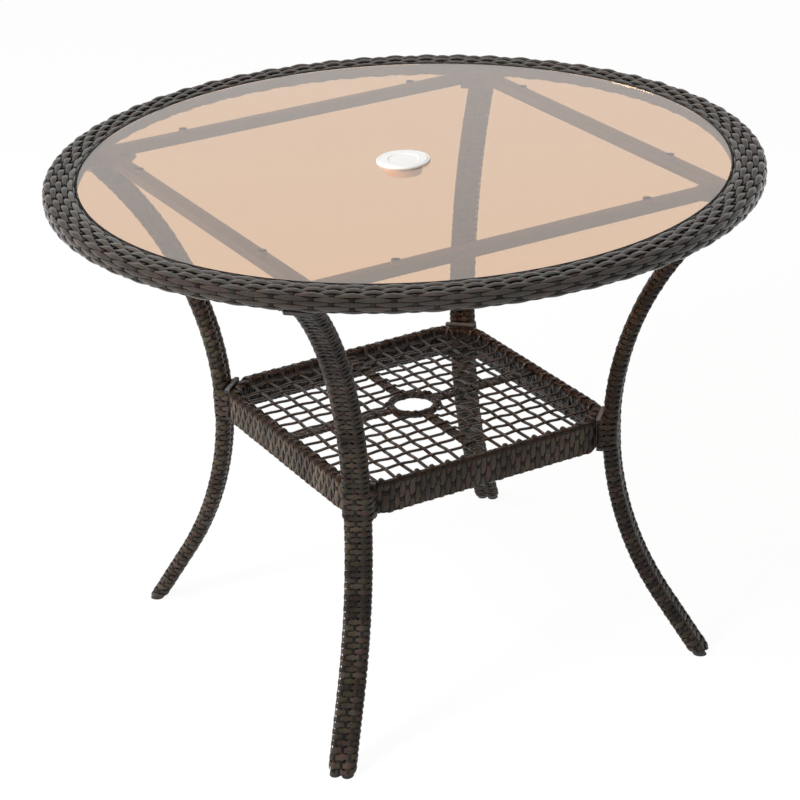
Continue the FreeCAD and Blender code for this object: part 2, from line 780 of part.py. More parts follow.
def make_foot_caps(name, angle):
    """Two plastic caps plugged into the tubes' lower ends, cut flat where they stand on the floor."""
    body = new_body(f"foot_caps_{name}")
    spigot = size["leg_tube_radius"] - size["leg_tube_wall"] - size["foot_spigot_clearance"]
    spigots = flare_sketch(body, leg_tube_run)
    draw_tube_pair(spigot)(spigots, 0)
    add_pad(body, spigots, size["foot_spigot_length"])
    caps = flare_sketch(body, leg_tube_run)
    draw_tube_pair(size["foot_cap_radius"])(caps, 0)
    add_pad(body, caps, size["foot_cap_height"] + size["foot_cap_radius"], down=True)
    trim_leg_foot(body, as_size(0))
    turn(body, angle)


# Brackets between the legs and the shelf

def make_bracket(name, angle):
    """A short steel block welded to the leg's tubes at the neck. The shelf's corner bolts to it."""
    body = new_body(f"shelf_bracket_{name}")
    sketch = new_sketch(body, bracket_bottom)
    half = size["bracket_width"] / 2
    draw_rectangle(sketch, (bracket_inner_reach, -half), (bracket_outer_reach, half))
    add_pad(body, sketch, size["bracket_below_top"])
    hole = new_sketch(body, bracket_inner_reach, role="YZ_Plane")
    draw_circle(hole, (0, shelf_bolt_height), size["bolt_hole_radius"])
    through = bracket_outer_reach - bracket_inner_reach + size["cut_margin"]
    add_pocket(body, hole, through, up=True)
    turn(body, angle)


def make_bracket_caps():
    """Grey plastic caps on the open tops of the four brackets."""
    body = new_body("bracket_caps")
    sketch = new_sketch(body, bracket_top)
    half = size["bracket_width"] / 2
    outer = neck_radius - leg_wrap_radius - size["bracket_weld_gap"]
    for angle in LEG_ANGLES.values():
        angle = as_size(angle)
        corners = []
        inner = bracket_inner_reach
        for along, across in ((inner, -half), (outer, -half), (outer, half), (inner, half)):
            x = along * cosine(angle) - across * sine(angle)
            y = along * sine(angle) + across * cosine(angle)
            corners.append((x, y))
        draw_loop(sketch, corners)
    add_pad(body, sketch, size["bracket_cap_height"])


# Shelf

def clipped_corner(inset):
    """The +X +Y corner of the shelf's outline, moved inward: a bend, a flat, and the second bend.

    Returns the bends' four ends and their two centres."""
    turned = (size["shelf_bend_radius"] - inset) / root(as_size(2.0))
    side = shelf_half_width - inset
    flat_far, flat_near = shelf_bend_reach + turned, shelf_side_end + turned
    ends = [(side, shelf_side_end), (flat_far, flat_near),
            (flat_near, flat_far), (shelf_side_end, side)]
    centres = [(shelf_bend_reach, shelf_side_end), (shelf_side_end, shelf_bend_reach)]
    return ends, centres


def draw_clipped_square(sketch, inset):
    """The shelf's outline, moved inward: a square with a flat across each corner."""
    ends, centres = clipped_corner(as_size(inset))
    corners, bends = [], {}
    for quarter in range(4):
        bends[quarter * 4] = centres[0]
        bends[quarter * 4 + 2] = centres[1]
        corners.extend(ends)
        ends = [(-y, x) for x, y in ends]
        centres = [(-y, x) for x, y in centres]
    draw_loop(sketch, corners, bends)


def shelf_ring(label, inset, width, bottom, height):
    """A ring along the shelf's frame, of the given width, whose outside lies inset from the wicker."""
    body = new_body(label)
    sketch = new_sketch(body, bottom)
    draw_clipped_square(sketch, inset)
    draw_clipped_square(sketch, width + inset)
    add_pad(body, sketch, height)
    return body


def shelf_bolt_tools(prefix):
    """Holes for the four bolts through the shelf's corners."""
    start = shelf_corner_inner - rail_width
    length = rail_width * 3
    place = (start, shelf_bolt_height)
    return [cylinder_tool(f"{prefix}_{name}", size["bolt_hole_radius"], length, place, angle)
            for name, angle in LEG_ANGLES.items()]


def make_shelf_frame_tube():
    """A flat tube on edge, bent into a square with a flat across each corner."""
    margin = size["rail_wrap_wall"]
    height = size["shelf_height"] - margin * 2
    outside = shelf_ring("shelf_tube_outside", margin, size["rail_tube_width"],
                         shelf_bottom + margin, height)
    wall = size["rail_tube_wall"]
    inside = shelf_ring("shelf_tube_inside", margin + wall, size["rail_tube_width"] - wall * 2,
                        shelf_bottom + margin + wall, height - wall * 2)
    cut_from("shelf_frame_tube", outside, [inside] + shelf_bolt_tools("tube_hole"))


def cross_slots(prefix, width, height, start, length):
    """Slots that let the cross bars through, one along each half axis."""
    tools = []
    for name, angle in SIDE_ANGLES.items():
        slot = new_body(f"{prefix}_{name}")
        sketch = new_sketch(slot, web_height - height / 2)
        draw_rectangle(sketch, (start, -width / 2), (start + length, width / 2))
        add_pad(slot, sketch, height)
        turn(slot, angle)
        tools.append(slot)
    return tools


def make_shelf_frame_wicker():
    """The woven skin of the shelf's frame, all round the tube."""
    outside = shelf_ring("shelf_wicker_outside", as_size(0), rail_width,
                         shelf_bottom, size["shelf_height"])
    gap = size["rail_clearance"]
    wall = size["rail_wrap_wall"] - gap
    inside = shelf_ring("shelf_wicker_inside", wall, size["rail_tube_width"] + gap * 2,
                        shelf_bottom + wall, size["shelf_height"] - wall * 2)
    margin = size["cut_margin"]
    slots = cross_slots("frame_slot", size["cross_bar_width"] + gap * 2,
                        size["cross_bar_height"] + gap * 2, rail_inner - margin,
                        size["rail_wrap_wall"] + margin * 2)
    cut_from("shelf_frame_wicker", outside, [inside] + shelf_bolt_tools("wicker_hole") + slots)


def make_shelf_bolts():
    """Four bolts, from inside the shelf's corners outward into the brackets."""
    for name, angle in LEG_ANGLES.items():
        height = shelf_bolt_height
        start = shelf_corner_inner - size["shelf_bolt_head_height"] - size["shelf_bolt_seat"]
        head = cylinder_tool(f"bolt_head_{name}", size["shelf_bolt_head_radius"],
                             size["shelf_bolt_head_height"], (start, height), angle)
        middle = start + size["shelf_bolt_head_height"] / 2
        length = bracket_outer_reach - middle
        shank = cylinder_tool(f"bolt_shank_{name}", size["bolt_radius"], length,
                              (middle, height), angle)
        bolt = doc.addObject("Part::Fuse", f"shelf_bolt_{name}")
        bolt.Base = head
        bolt.Tool = shank
    group = doc.addObject("Part::Compound", "shelf_bolts")
    group.Links = [doc.getObject(f"shelf_bolt_{name}") for name in LEG_ANGLES]
    group.Label = "shelf_bolts"


def make_cross_bars():
    """Four flat steel bars from the centre ring to the shelf's frame."""
    body = new_body("shelf_cross_bars")
    sketch = new_sketch(body, web_height - size["cross_bar_height"] / 2)
    half = size["cross_bar_width"] / 2
    start = ring_steel_outer
    for along in SQUARE_ANGLES:
        angle = as_size(along)
        corners = []
        for reach, across in ((start, -half), (rail_tube_inner, -half),
                              (rail_tube_inner, half), (start, half)):
            x = reach * cosine(angle) - across * sine(angle)
            y = reach * sine(angle) + across * cosine(angle)
            corners.append((x, y))
        draw_loop(sketch, corners)
    add_pad(body, sketch, size["cross_bar_height"])


def make_cross_wicker(side, angle):
    """The woven wrap of one cross bar, from the ring's wrap to the frame's."""
    body = new_body(f"cross_wicker_{side}")
    half = size["cross_wrap_width"] / 2
    sketch = new_sketch(body, web_height - size["cross_wrap_height"] / 2)
    draw_rectangle(sketch, (ring_wrap_outer, -half), (rail_inner, half))
    add_pad(body, sketch, size["cross_wrap_height"])
    bore = new_sketch(body, web_height - size["cross_bar_height"] / 2 - size["rail_clearance"])
    inner_half = size["cross_bar_width"] / 2 + size["rail_clearance"]
    start, end = ring_wrap_outer - size["cut_margin"], rail_inner + size["cut_margin"]
    draw_rectangle(bore, (start, -inner_half), (end, inner_half))
    add_pocket(body, bore, size["cross_bar_height"] + size["rail_clearance"] * 2, up=True)
    turn(body, angle)


def make_centre_ring():
    """The steel ring that the cross bars meet in, and that an umbrella pole passes."""
    body = new_body("shelf_centre_ring")
    sketch = new_sketch(body, web_height - ring_steel_height / 2)
    draw_circle(sketch, (0, 0), ring_steel_outer)
    draw_circle(sketch, (0, 0), ring_steel_inner)
    add_pad(body, sketch, ring_steel_height)


def make_centre_ring_wicker():
    """The woven wrap of the centre ring. Its bore is the hole for the umbrella pole."""
    body = new_body("ring_wicker_outside")
    sketch = new_sketch(body, web_height - size["ring_wrap_height"] / 2)
    draw_circle(sketch, (0, 0), ring_wrap_outer)
    draw_circle(sketch, (0, 0), size["pole_hole_radius"])
    add_pad(body, sketch, size["ring_wrap_height"])
    cavity = new_body("ring_wicker_inside")
    gap = size["ring_clearance"]
    section = new_sketch(cavity, web_height - ring_steel_height / 2 - gap)
    draw_circle(section, (0, 0), ring_steel_outer + gap)
    draw_circle(section, (0, 0), ring_steel_inner - gap)
    add_pad(cavity, section, ring_steel_height + gap * 2)
    margin = size["cut_margin"]
    slots = cross_slots("ring_slot", size["cross_bar_width"] + size["rail_clearance"] * 2,
                        size["cross_bar_height"] + size["rail_clearance"] * 2,
                        ring_steel_outer - margin, size["ring_wrap_wall"] + gap + margin * 2)
    cut_from("centre_ring_wicker", body, [cavity] + slots)


def make_net(name, angle):
    """One quadrant of the open netting: a flat face with square gaps, given its thickness."""
    side = size["cross_wrap_width"].value / 2
    inner = rail_inner.value
    ends, centres = clipped_corner(rail_width)
    bend = size["shelf_bend_radius"].value - rail_width.value
    points = [Vector(side, side, 0), Vector(inner, side, 0)]
    points += [to_vector(end) for end in ends] + [Vector(side, inner, 0)]
    bends = {2: (centres[0], 22.5), 4: (centres[1], 67.5)}
    edges = []
    for i, start in enumerate(points):
        end = points[(i + 1) % len(points)]
        if i in bends:
            centre, middle = bends[i]
            spoke = Rotation(Vector(0, 0, 1), middle).multVec(Vector(bend, 0, 0))
            edges.append(Part.Arc(start, to_vector(centre) + spoke, end).toShape())
        else:
            edges.append(Part.LineSegment(start, end).toShape())
    face = Part.Face(Part.Wire(edges))
    ring = Part.Face(Part.Wire([Part.Circle(Vector(0, 0, 0), Vector(0, 0, 1),
                                            ring_wrap_outer.value).toShape()]))
    pitch = size["net_pitch"].value
    half_strand = size["net_strand_width"].value / 2
    count = int((inner - side) / pitch)
    gaps = []
    for row in range(count + 1):
        for column in range(count + 1):
            corner_x = side + column * pitch + half_strand * (column > 0)
            corner_y = side + row * pitch + half_strand * (row > 0)
            end_x = side + (column + 1) * pitch - half_strand if column < count else inner + 1
            end_y = side + (row + 1) * pitch - half_strand if row < count else inner + 1
            low = Vector(corner_x, corner_y, 0)
            gaps.append(Part.makePlane(end_x - corner_x, end_y - corner_y, low))
    holed = face.cut([ring] + gaps)
    solid = holed.extrude(Vector(0, 0, size["net_thickness"].value))
    net = doc.addObject("Part::Feature", f"shelf_net_{name}")
    net.Shape = solid
    net.Label = f"shelf_net_{name}"
    bottom = web_height.value - size["net_thickness"].value / 2
    net.Placement = Placement(Vector(0, 0, bottom), Rotation(Vector(0, 0, 1), angle))


def build_table():
    make_rim_wicker()
    make_rim_outer_hoop()
    make_rim_inner_hoop()
    make_rim_spreaders()
    make_glass()
    make_glass_pads()
    make_umbrella_ring()
    make_umbrella_plug()
    for side, angle in SIDE_ANGLES.items():
        make_bar(side, angle)
        make_cross_wicker(side, angle)
    for name, angle in LEG_ANGLES.items():
        make_gusset(name, angle)
        make_top_plate(name, angle)
        make_leg_tubes(name, angle)
        make_leg_wicker(name, angle)
        make_foot_caps(name, angle)
        make_bracket(name, angle)
        make_net(name, angle - 45.0)
    make_leg_bolts()
    make_bracket_caps()
    make_shelf_frame_tube()
    make_shelf_frame_wicker()
    make_shelf_bolts()
    make_cross_bars()
    make_centre_ring()
    make_centre_ring_wicker()


def sub_parts():
    """The objects that are pieces of the table: whatever no other object is made from."""
    kinds = ("PartDesign::Body", "Part::Cut", "Part::Compound", "Part::Feature")
    used = set()
    for thing in doc.Objects:
        if thing.TypeId in ("Part::Cut", "Part::Fuse", "Part::MultiFuse", "Part::Compound"):
            used.update(source.Name for source in thing.OutList)
    return [thing for thing in doc.Objects if thing.TypeId in kinds and thing.Name not in used]


def check_and_write():
    doc.recompute()
    failed = [thing.Name for thing in doc.Objects
              if "Invalid" in thing.State or "Error" in thing.State]
    if failed:
        raise RuntimeError(f"objects failed: {failed}")
    pieces = sub_parts()
    for piece in pieces:
        if piece.Shape.isNull() or not piece.Shape.isValid():
            raise RuntimeError(f"{piece.Label} has no valid shape")
    for piece in pieces:
        piece.Shape.exportStep(f"parts/{piece.Label}.step")
        box = piece.Shape.BoundBox
        print(f"{piece.Label}: {len(piece.Shape.Solids)} solids, {piece.Shape.Volume / 1000:.1f} cm3,"
              f" x {box.XMin:.1f} {box.XMax:.1f}, y {box.YMin:.1f} {box.YMax:.1f},"
              f" z {box.ZMin:.1f} {box.ZMax:.1f}")
    print(len(pieces), "pieces written")


build_table()
check_and_write()
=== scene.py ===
import math

import bpy
import numpy as np
from mathutils import Matrix, Vector


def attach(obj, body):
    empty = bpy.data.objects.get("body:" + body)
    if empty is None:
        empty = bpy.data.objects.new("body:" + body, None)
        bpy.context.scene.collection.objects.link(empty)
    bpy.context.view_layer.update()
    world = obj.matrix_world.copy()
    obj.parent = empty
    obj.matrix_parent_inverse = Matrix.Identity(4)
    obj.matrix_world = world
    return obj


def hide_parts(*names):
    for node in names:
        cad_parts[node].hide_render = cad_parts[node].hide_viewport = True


# A round woven patio table: woven rim, legs, shelf rails, cross and netting as interlaced
# resin strands, over the steel, glass and plastic parts that come with the frame.
# Sizes are in metres.

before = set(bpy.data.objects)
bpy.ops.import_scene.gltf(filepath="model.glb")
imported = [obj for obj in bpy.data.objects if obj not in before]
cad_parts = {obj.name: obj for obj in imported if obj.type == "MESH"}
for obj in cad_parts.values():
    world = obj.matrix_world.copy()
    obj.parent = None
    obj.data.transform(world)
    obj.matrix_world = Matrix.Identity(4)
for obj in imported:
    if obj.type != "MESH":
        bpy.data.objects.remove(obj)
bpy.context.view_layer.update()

MM = 0.001
strand_dice = np.random.default_rng(11)

LEG_ANGLES = {"front": 225, "right": 315, "back": 45, "left": 135}
SIDE_ANGLES = {"front_right": 270, "back_right": 0, "back_left": 90, "front_left": 180}


# Outlines: closed plane curves of straight sides and arcs, read by distance along them

class Outline:
    """Straight sides joined by arcs that touch both sides. point(s) is the place and the outward
    direction at distance s along it, anticlockwise, from the first corner."""

    ARC_STEPS = 14

    def __init__(self, corners, radii):
        corners = np.array(corners, float)
        places, outward = [], []
        for i, (corner, radius) in enumerate(zip(corners, radii)):
            back = corners[i - 1] - corner
            ahead = corners[(i + 1) % len(corners)] - corner
            back, ahead = back / np.hypot(*back), ahead / np.hypot(*ahead)
            side_in = np.array([-back[1], back[0]])
            side_out = np.array([ahead[1], -ahead[0]])
            if radius == 0:
                places.append(corner[None])
                outward.append(side_out[None])
                continue
            half = 0.5 * math.acos(np.clip(back @ ahead, -1, 1))
            bisector = (back + ahead) / np.hypot(*(back + ahead))
            centre = corner + bisector * radius / math.sin(half)
            turn = np.linspace(0, 1, self.ARC_STEPS)[:, None]
            sweep = math.pi - 2 * half
            spokes = np.sin((1 - turn) * sweep) * side_in + np.sin(turn * sweep) * side_out
            spokes = spokes / math.sin(sweep)
            places.append(centre + spokes * radius)
            outward.append(spokes)
        self.places = np.vstack(places + [places[0][:1]])
        self.outward = np.vstack(outward + [outward[0][:1]])
        steps = np.hypot(*np.diff(self.places, axis=0).T)
        self.marks = np.concatenate([[0], np.cumsum(steps)])
        self.length = self.marks[-1]

    def point(self, s):
        s = np.mod(s, self.length)
        read = lambda column: np.interp(s, self.marks, column)
        place = np.stack([read(self.places[:, 0]), read(self.places[:, 1])], -1)
        outward = np.stack([read(self.outward[:, 0]), read(self.outward[:, 1])], -1)
        return place, outward / np.linalg.norm(outward, axis=-1, keepdims=True)


def box_outline(half_x, half_y, radius):
    """A rounded rectangle about its centre, begun at the middle of its +x side."""
    corners = [(half_x, 0), (half_x, half_y), (-half_x, half_y), (-half_x, -half_y),
               (half_x, -half_y)]
    return Outline(corners, [0, radius, radius, radius, radius])


# Strands: flat oval ribbons carried over a surface. A surface takes a distance p along a path
# and a share q of the way round its section, and gives places and outward directions.

STRAND_SECTION = np.array([
    (-0.50, 0.00), (-0.38, 0.32), (-0.13, 0.49), (0.13, 0.49),
    (0.38, 0.32), (0.50, 0.00), (0.30, -0.50), (-0.30, -0.50)])
POINTS_PER_KNOT = 60


def over_under(phase, firmness):
    """+1 where a strand is on top and -1 where it is below, once each per two crossings:
    tanh of a cosine, so that it rides flat over a crossing and dives steeply between two."""
    return np.tanh(firmness * np.cos(np.pi * phase)) / math.tanh(firmness)


def strand_grid(surface, p, q, lift, width, thickness, across):
    """Places of ribbon points: the section's first number runs across the strand, along p or
    round q as asked, and its second stands off the surface on top of the lift."""
    side, height = STRAND_SECTION[:, 0], STRAND_SECTION[:, 1]
    p, q, lift = (np.asarray(a, float)[..., None] for a in (p, q, lift))
    if across == "p":
        p, q = np.broadcast_arrays(p + side * width, q + side * 0)
    else:
        p, q = np.broadcast_arrays(p + side * 0, q + side * width)
    place, outward = surface(p, q)
    return place + outward * (lift + height * thickness)[..., None]


def strand_mesh(name, grids, closed, shades=None):
    """One mesh of many ribbons. Each grid is strands x steps x section x 3. Quads join each ring
    of section points to the next; open ends get three quads. Each strand has its own tone, with a
    slow change along it, and a UV map of metres along it and share round it. A shade between 0
    and 1 for each strand takes the place of the strands' chance tones."""
    places, quads, tones, ribbon_uv = [], [], [], []
    start = 0
    for grid, is_closed, shade in zip(grids, closed, shades or [None] * len(grids)):
        strands, steps, around, _ = grid.shape
        index = start + np.arange(strands * steps * around).reshape(strands, steps, around)
        walk = np.linalg.norm(np.diff(grid[:, :, 3], axis=1), axis=-1)
        walk = np.concatenate([np.zeros((strands, 1)), np.cumsum(walk, 1)], 1)
        near = index if is_closed else index[:, :-1]
        far = np.roll(index, -1, 1) if is_closed else index[:, 1:]
        faces = np.stack([near, far, np.roll(far, -1, 2), np.roll(near, -1, 2)], -1)
        near_walk = walk if is_closed else walk[:, :-1]
        far_walk = np.roll(walk, -1, 1) if is_closed else walk[:, 1:]
        if is_closed:
            far_walk = far_walk.copy()
            far_walk[:, -1] = walk[:, -1] + walk[:, 1]
        share = np.arange(around) / around
        u = np.stack(np.broadcast_arrays(near_walk[..., None], far_walk[..., None],
                                         far_walk[..., None], near_walk[..., None]), -1)
        u = np.broadcast_to(u, near.shape[:2] + (around, 4))
        v = np.stack([share, share, share + 1 / around, share + 1 / around], -1)
        v = np.broadcast_to(v, u.shape)
        places.append(grid.reshape(-1, 3))
        quads.append(faces.reshape(-1, 4))
        ribbon_uv.append(np.stack([u, v], -1).reshape(-1, 2))
        if not is_closed:
            cap = np.array([(0, 1, 2, 7), (2, 3, 6, 7), (3, 4, 5, 6)])
            first, last = index[:, 0][:, cap], index[:, -1][:, cap[:, ::-1]]
            ends = np.concatenate([first.reshape(-1, 4), last.reshape(-1, 4)])
            quads.append(ends)
            ribbon_uv.append(np.zeros((len(ends) * 4, 2)))
        own = strand_dice.random((strands, 1)) if shade is None else np.asarray(shade)[:, None]
        knots = strand_dice.random((strands, max(3, steps // POINTS_PER_KNOT)))
        if is_closed:
            knots[:, -1] = knots[:, 0]
        along = np.linspace(0, knots.shape[1] - 1, steps)
        low = np.floor(along).astype(int).clip(0, knots.shape[1] - 2)
        slow = knots[:, low] + (knots[:, low + 1] - knots[:, low]) * (along - low)
        tone = 0.5 * own + 0.5 * slow
        tones.append(np.repeat(tone[..., None], around, 2).reshape(-1))
        start += strands * steps * around
    return surface_mesh(name, np.vstack(places), np.vstack(quads), np.concatenate(tones),
                        np.vstack(ribbon_uv))


def surface_mesh(name, places, quads, tones=None, uv=None):
    """Put whole arrays into a mesh. The faces are turned outward: the sum over faces of place
    dot area vector is three times the volume, so a negative sum means that they point inward."""
    corner = places[quads]
    area = np.cross(corner[:, 2] - corner[:, 0], corner[:, 3] - corner[:, 1])
    if np.einsum("ij,ij->", corner.mean(1), area) < 0:
        quads = quads[:, ::-1]
        uv = uv if uv is None else uv.reshape(-1, 4, 2)[:, ::-1].reshape(-1, 2)
    mesh = bpy.data.meshes.new(name)
    mesh.vertices.add(len(places))
    mesh.vertices.foreach_set("co", places.astype(np.float32).ravel())
    mesh.loops.add(quads.size)
    mesh.loops.foreach_set("vertex_index", quads.astype(np.int32).ravel())
    mesh.polygons.add(len(quads))
    mesh.polygons.foreach_set("loop_start", np.arange(0, quads.size, 4, dtype=np.int32))
    mesh.polygons.foreach_set("use_smooth", np.ones(len(quads), bool))
    mesh.update(calc_edges=True)
    if tones is not None:
        tone = mesh.attributes.new("tone", "FLOAT", "POINT")
        tone.data.foreach_set("value", tones.astype(np.float32))
    if uv is not None:
        layer = mesh.uv_layers.new(name="strand")
        layer.data.foreach_set("uv", uv.astype(np.float32).ravel())
    mesh.validate()
    piece = bpy.data.objects.new(name, mesh)
    bpy.context.scene.collection.objects.link(piece)
    return piece


def turned(places, degrees):
    """Places turned about the upright axis through the origin."""
    c, s = math.cos(math.radians(degrees)), math.sin(math.radians(degrees))
    x, y, z = places[..., 0], places[..., 1], places[..., 2]
    return np.stack([x * c - y * s, x * s + y * c, z], -1)


def ribbon(middle, facing, width, thickness):
    """Ribbons from their middle lines (strands x steps x 3): the section's first number runs
    sideways, along the line's direction crossed with the facing one, and its second stands off
    along the facing direction, made square to the line."""
    ahead = np.gradient(middle, axis=1)
    ahead = ahead / np.linalg.norm(ahead, axis=-1, keepdims=True)
    facing = facing - ahead * (facing * ahead).sum(-1, keepdims=True)
    facing = facing / np.linalg.norm(facing, axis=-1, keepdims=True)
    sideways = np.cross(ahead, facing)
    side, height = STRAND_SECTION[:, :1], STRAND_SECTION[:, 1:]
    across = sideways[..., None, :] * side * width
    return middle[..., None, :] + across + facing[..., None, :] * height * thickness


def chance_wave(places, spacing, closed=False):
    """A smooth line through chance numbers from -1 to 1 that lie a spacing apart."""
    last = float(np.max(places))
    count = max(4, int(last / spacing) + 2)
    knots = strand_dice.uniform(-1, 1, count)
    if closed:
        knots[-1] = knots[0]
    at = np.asarray(places) / last * (count - 1)
    low = np.floor(at).astype(int).clip(0, count - 2)
    share = at - low
    share = share * share * (3 - 2 * share)
    return knots[low] + (knots[low + 1] - knots[low]) * share


RISE_SHARE, RISE_SPACING, WANDER_SPACING = 0.25, 0.6, 0.35
STAKE_STEPS = 4


def wrapped_skin(name, surface, length, section_length, turns, stakes, closed, style, angle=0):
    """A frame member wrapped in strand. One long strand winds round the section, a pitch per
    turn, over one stake and under the next, is pinched between two stakes, and wanders a little
    from its even course. The stakes run along the member at equal shares of the section, and with
    an odd number of them each turn crosses the other way to the last. The wrap and the stakes are
    two meshes."""
    pitch = length / turns
    begin = style["stake_begin"]
    per_turn = stakes * style["steps"]
    steps = turns * per_turn
    winding = np.arange(steps) / per_turn if closed else np.linspace(0, turns, steps)
    rise = 1 - RISE_SHARE + RISE_SHARE * chance_wave(winding, RISE_SPACING, closed)
    bead = over_under(stakes * winding - begin, style["firmness"])
    lift = style["wrap_lift"] * rise * bead
    width = style["wrap_width"] * pitch * (1 - style["pinch"] * (1 - bead ** 2))
    sway = style["wander"] * pitch * chance_wave(winding, WANDER_SPACING, closed)
    course = winding * pitch + sway
    if not closed:
        course = np.clip(course, 0, length)
    wrap = strand_grid(surface, course[None], (winding % 1)[None], lift[None], width[None, :, None],
                       style["wrap_thickness"], "p")
    stake = np.arange(stakes)[:, None]
    steps = turns * STAKE_STEPS
    along = np.arange(steps) / STAKE_STEPS if closed else np.linspace(0, turns, steps)
    phase = along[None] - (stake + begin) / stakes + stake
    lift = -style["stake_lift"] * over_under(phase, style["firmness"])
    rods = strand_grid(surface, (along * pitch)[None], (stake + begin) / stakes, lift,
                       style["stake_width"] / section_length, style["stake_thickness"], "q")
    return (strand_mesh(f"{name}_wrap", [turned(wrap, angle)], [closed]),
            strand_mesh(f"{name}_stakes", [turned(rods, angle)], [closed]))


# Rim: concentric weavers over and under radial stakes

RIM_RADIUS, RIM_WIDTH = 498.7 * MM, 47 * MM
RIM_TOP, RIM_HEIGHT = 735 * MM, 26 * MM
RIM_INSET = 2.5 * MM
RIM_STAKES = 122
RIM_STAKE_WIDTH, RIM_STAKE_THICKNESS, RIM_STAKE_LIFT = 7 * MM, 1.3 * MM, 0.7 * MM
RIM_MIDDLE = RIM_RADIUS - RIM_WIDTH / 2
# Size and place of the near-black lip of painted shade in the gap beside the glass.
LIP_GAP, LIP_DROP, LIP_RADIUS = 0.5 * MM, 1.5 * MM, 0.4 * MM
LIP_WIDTH, LIP_HEIGHT = 1.3 * MM, 21 * MM
STEPS_PER_STAKE, STEPS_PER_ROW = 6, 4
WEAVER_FIRMNESS, RIM_STAKE_FIRMNESS = 0.35, 1.2
HOOP_STEPS, HOOP_POINTS = 240, 48

# Rows of weavers from the inner top edge down, under and up again: their widths in mm, how far
# each rides over a stake, how thick it is, how much it swells on top of a stake and narrows below
# one, and its shade from brown to grey green.
RIM_ROWS = (
    [(9.6, 0.7, 1.5, 0.0, 0.35)] * 2
    + [(7.8, 1.2, 2.0, 0.1, 0.4)] * 5
    + [(5.6, 0.9, 2.4, 0.1, 0.15), (5.6, 0.9, 2.4, 0.1, 0.30), (5.6, 0.9, 2.4, 0.1, 0.10),
       (5.6, 1.0, 2.4, 0.1, 0.35)]
    + [(7.4, 1.7, 3.4, 0.15, 0.45), (7.4, 2.4, 3.8, 0.2, 0.75), (7.4, 2.4, 3.8, 0.2, 0.9),
       (7.4, 2.4, 3.8, 0.2, 0.95), (7.8, 0.9, 3.0, 0.1, 1.0)])


def rim_outline(inset, inner_inset, outer_radius, inner_radius):
    """The rim's section, out from the table's axis and up, begun at its inner top corner."""
    inside, outside = RIM_RADIUS - RIM_WIDTH + inner_inset, RIM_RADIUS - inset
    top, bottom = RIM_TOP - inset, RIM_TOP - RIM_HEIGHT + inset
    corners = [(inside, top), (inside, bottom), (outside, bottom), (outside, top)]
    return Outline(corners, [inner_radius, inner_radius, outer_radius, outer_radius])


def rim_surface(outline):
    """Section point (out, up) at share q, carried round a circle: p is the angle in radians."""
    def surface(p, q):
        place, outward = outline.point(q * outline.length)
        c, s = np.cos(p), np.sin(p)
        where = np.stack([place[..., 0] * c, place[..., 0] * s, place[..., 1] + 0 * c], -1)
        normal = np.stack([outward[..., 0] * c, outward[..., 0] * s, outward[..., 1] + 0 * c], -1)
        return where, normal
    return surface


def make_rim():
    """Weavers: rows round the section, each a closed ring whose lift changes sign at each stake and
    whose width follows its lift. Stakes: closed loops round the section, lifted where the weavers
    dive. Inside them lies a near-black core of painted shade for the hollow behind the weave, and a
    near-black lip of painted shade stands between them and the glass, in the gap there."""
    surface = rim_surface(rim_outline(RIM_INSET, inner_inset=1.2 * MM,
                                      outer_radius=6.5 * MM, inner_radius=2.5 * MM))
    width, ride, thickness, swell, shade = np.array(RIM_ROWS).T
    count = len(RIM_ROWS)
    edges = np.concatenate([[0], np.cumsum(width)]) / width.sum()
    row = np.arange(count)[:, None]
    steps = RIM_STAKES * STEPS_PER_STAKE
    angle = np.arange(steps)[None] * 2 * math.pi / steps
    phase = angle * RIM_STAKES / (2 * math.pi)
    bead = over_under(phase + row, WEAVER_FIRMNESS)
    middles = (edges[:-1] + edges[1:])[:, None] / 2
    bead_width = np.diff(edges)[:, None] * (1 + swell[:, None] * bead)
    weavers = strand_grid(surface, angle, middles, ride[:, None] * MM * bead, bead_width[..., None],
                          thickness[:, None, None] * MM, "q")
    rows = strand_mesh("rim_weavers", [weavers], [True], [shade])
    stake = np.arange(RIM_STAKES)[:, None]
    steps = count * STEPS_PER_ROW
    share = np.arange(steps)[None] / steps
    row_at = np.interp(share, edges, np.arange(count + 1))
    lift = -RIM_STAKE_LIFT * over_under(row_at - 0.5 + stake, RIM_STAKE_FIRMNESS)
    stakes = strand_grid(surface, stake * 2 * math.pi / RIM_STAKES, share, lift,
                         RIM_STAKE_WIDTH / RIM_MIDDLE, RIM_STAKE_THICKNESS, "p")
    bars = strand_mesh("rim_stakes", [stakes], [True])
    # The core and the lip are near-black painted shade: the hollow inside the weave and the gap
    # beside the glass.
    core = make_hoop("rim_shade_core", rim_outline(5.2 * MM, inner_inset=2.4 * MM,
                                             outer_radius=4.6 * MM, inner_radius=1.5 * MM))
    inside, top = RIM_RADIUS - RIM_WIDTH - LIP_GAP, RIM_TOP - LIP_DROP
    outside, bottom = inside + LIP_WIDTH, top - LIP_HEIGHT
    lip_corners = [(inside, top), (inside, bottom), (outside, bottom), (outside, top)]
    lip = make_hoop("rim_shade_lip", Outline(lip_corners, [LIP_RADIUS] * 4))
    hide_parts("rim_wicker")
    return rows, bars, core, lip


def make_hoop(name, outline):
    """A section's outline turned through a full circle: the near-black painted shade inside the
    weave, or the near-black lip of painted shade in the gap between the weave and the glass."""
    turns, around = np.arange(HOOP_STEPS) / HOOP_STEPS, np.arange(HOOP_POINTS) / HOOP_POINTS
    angle, share = np.meshgrid(turns * 2 * math.pi, around, indexing="ij")
    place, _ = rim_surface(outline)(angle, share)
    index = np.arange(place[..., 0].size).reshape(angle.shape)
    far = np.roll(index, -1, 0)
    quads = np.stack([index, far, np.roll(far, -1, 1), np.roll(index, -1, 1)], -1).reshape(-1, 4)
    return surface_mesh(name, place.reshape(-1, 3), quads)


# Legs: an arc through the neck, a straight flare below, and the lug that wraps the bracket

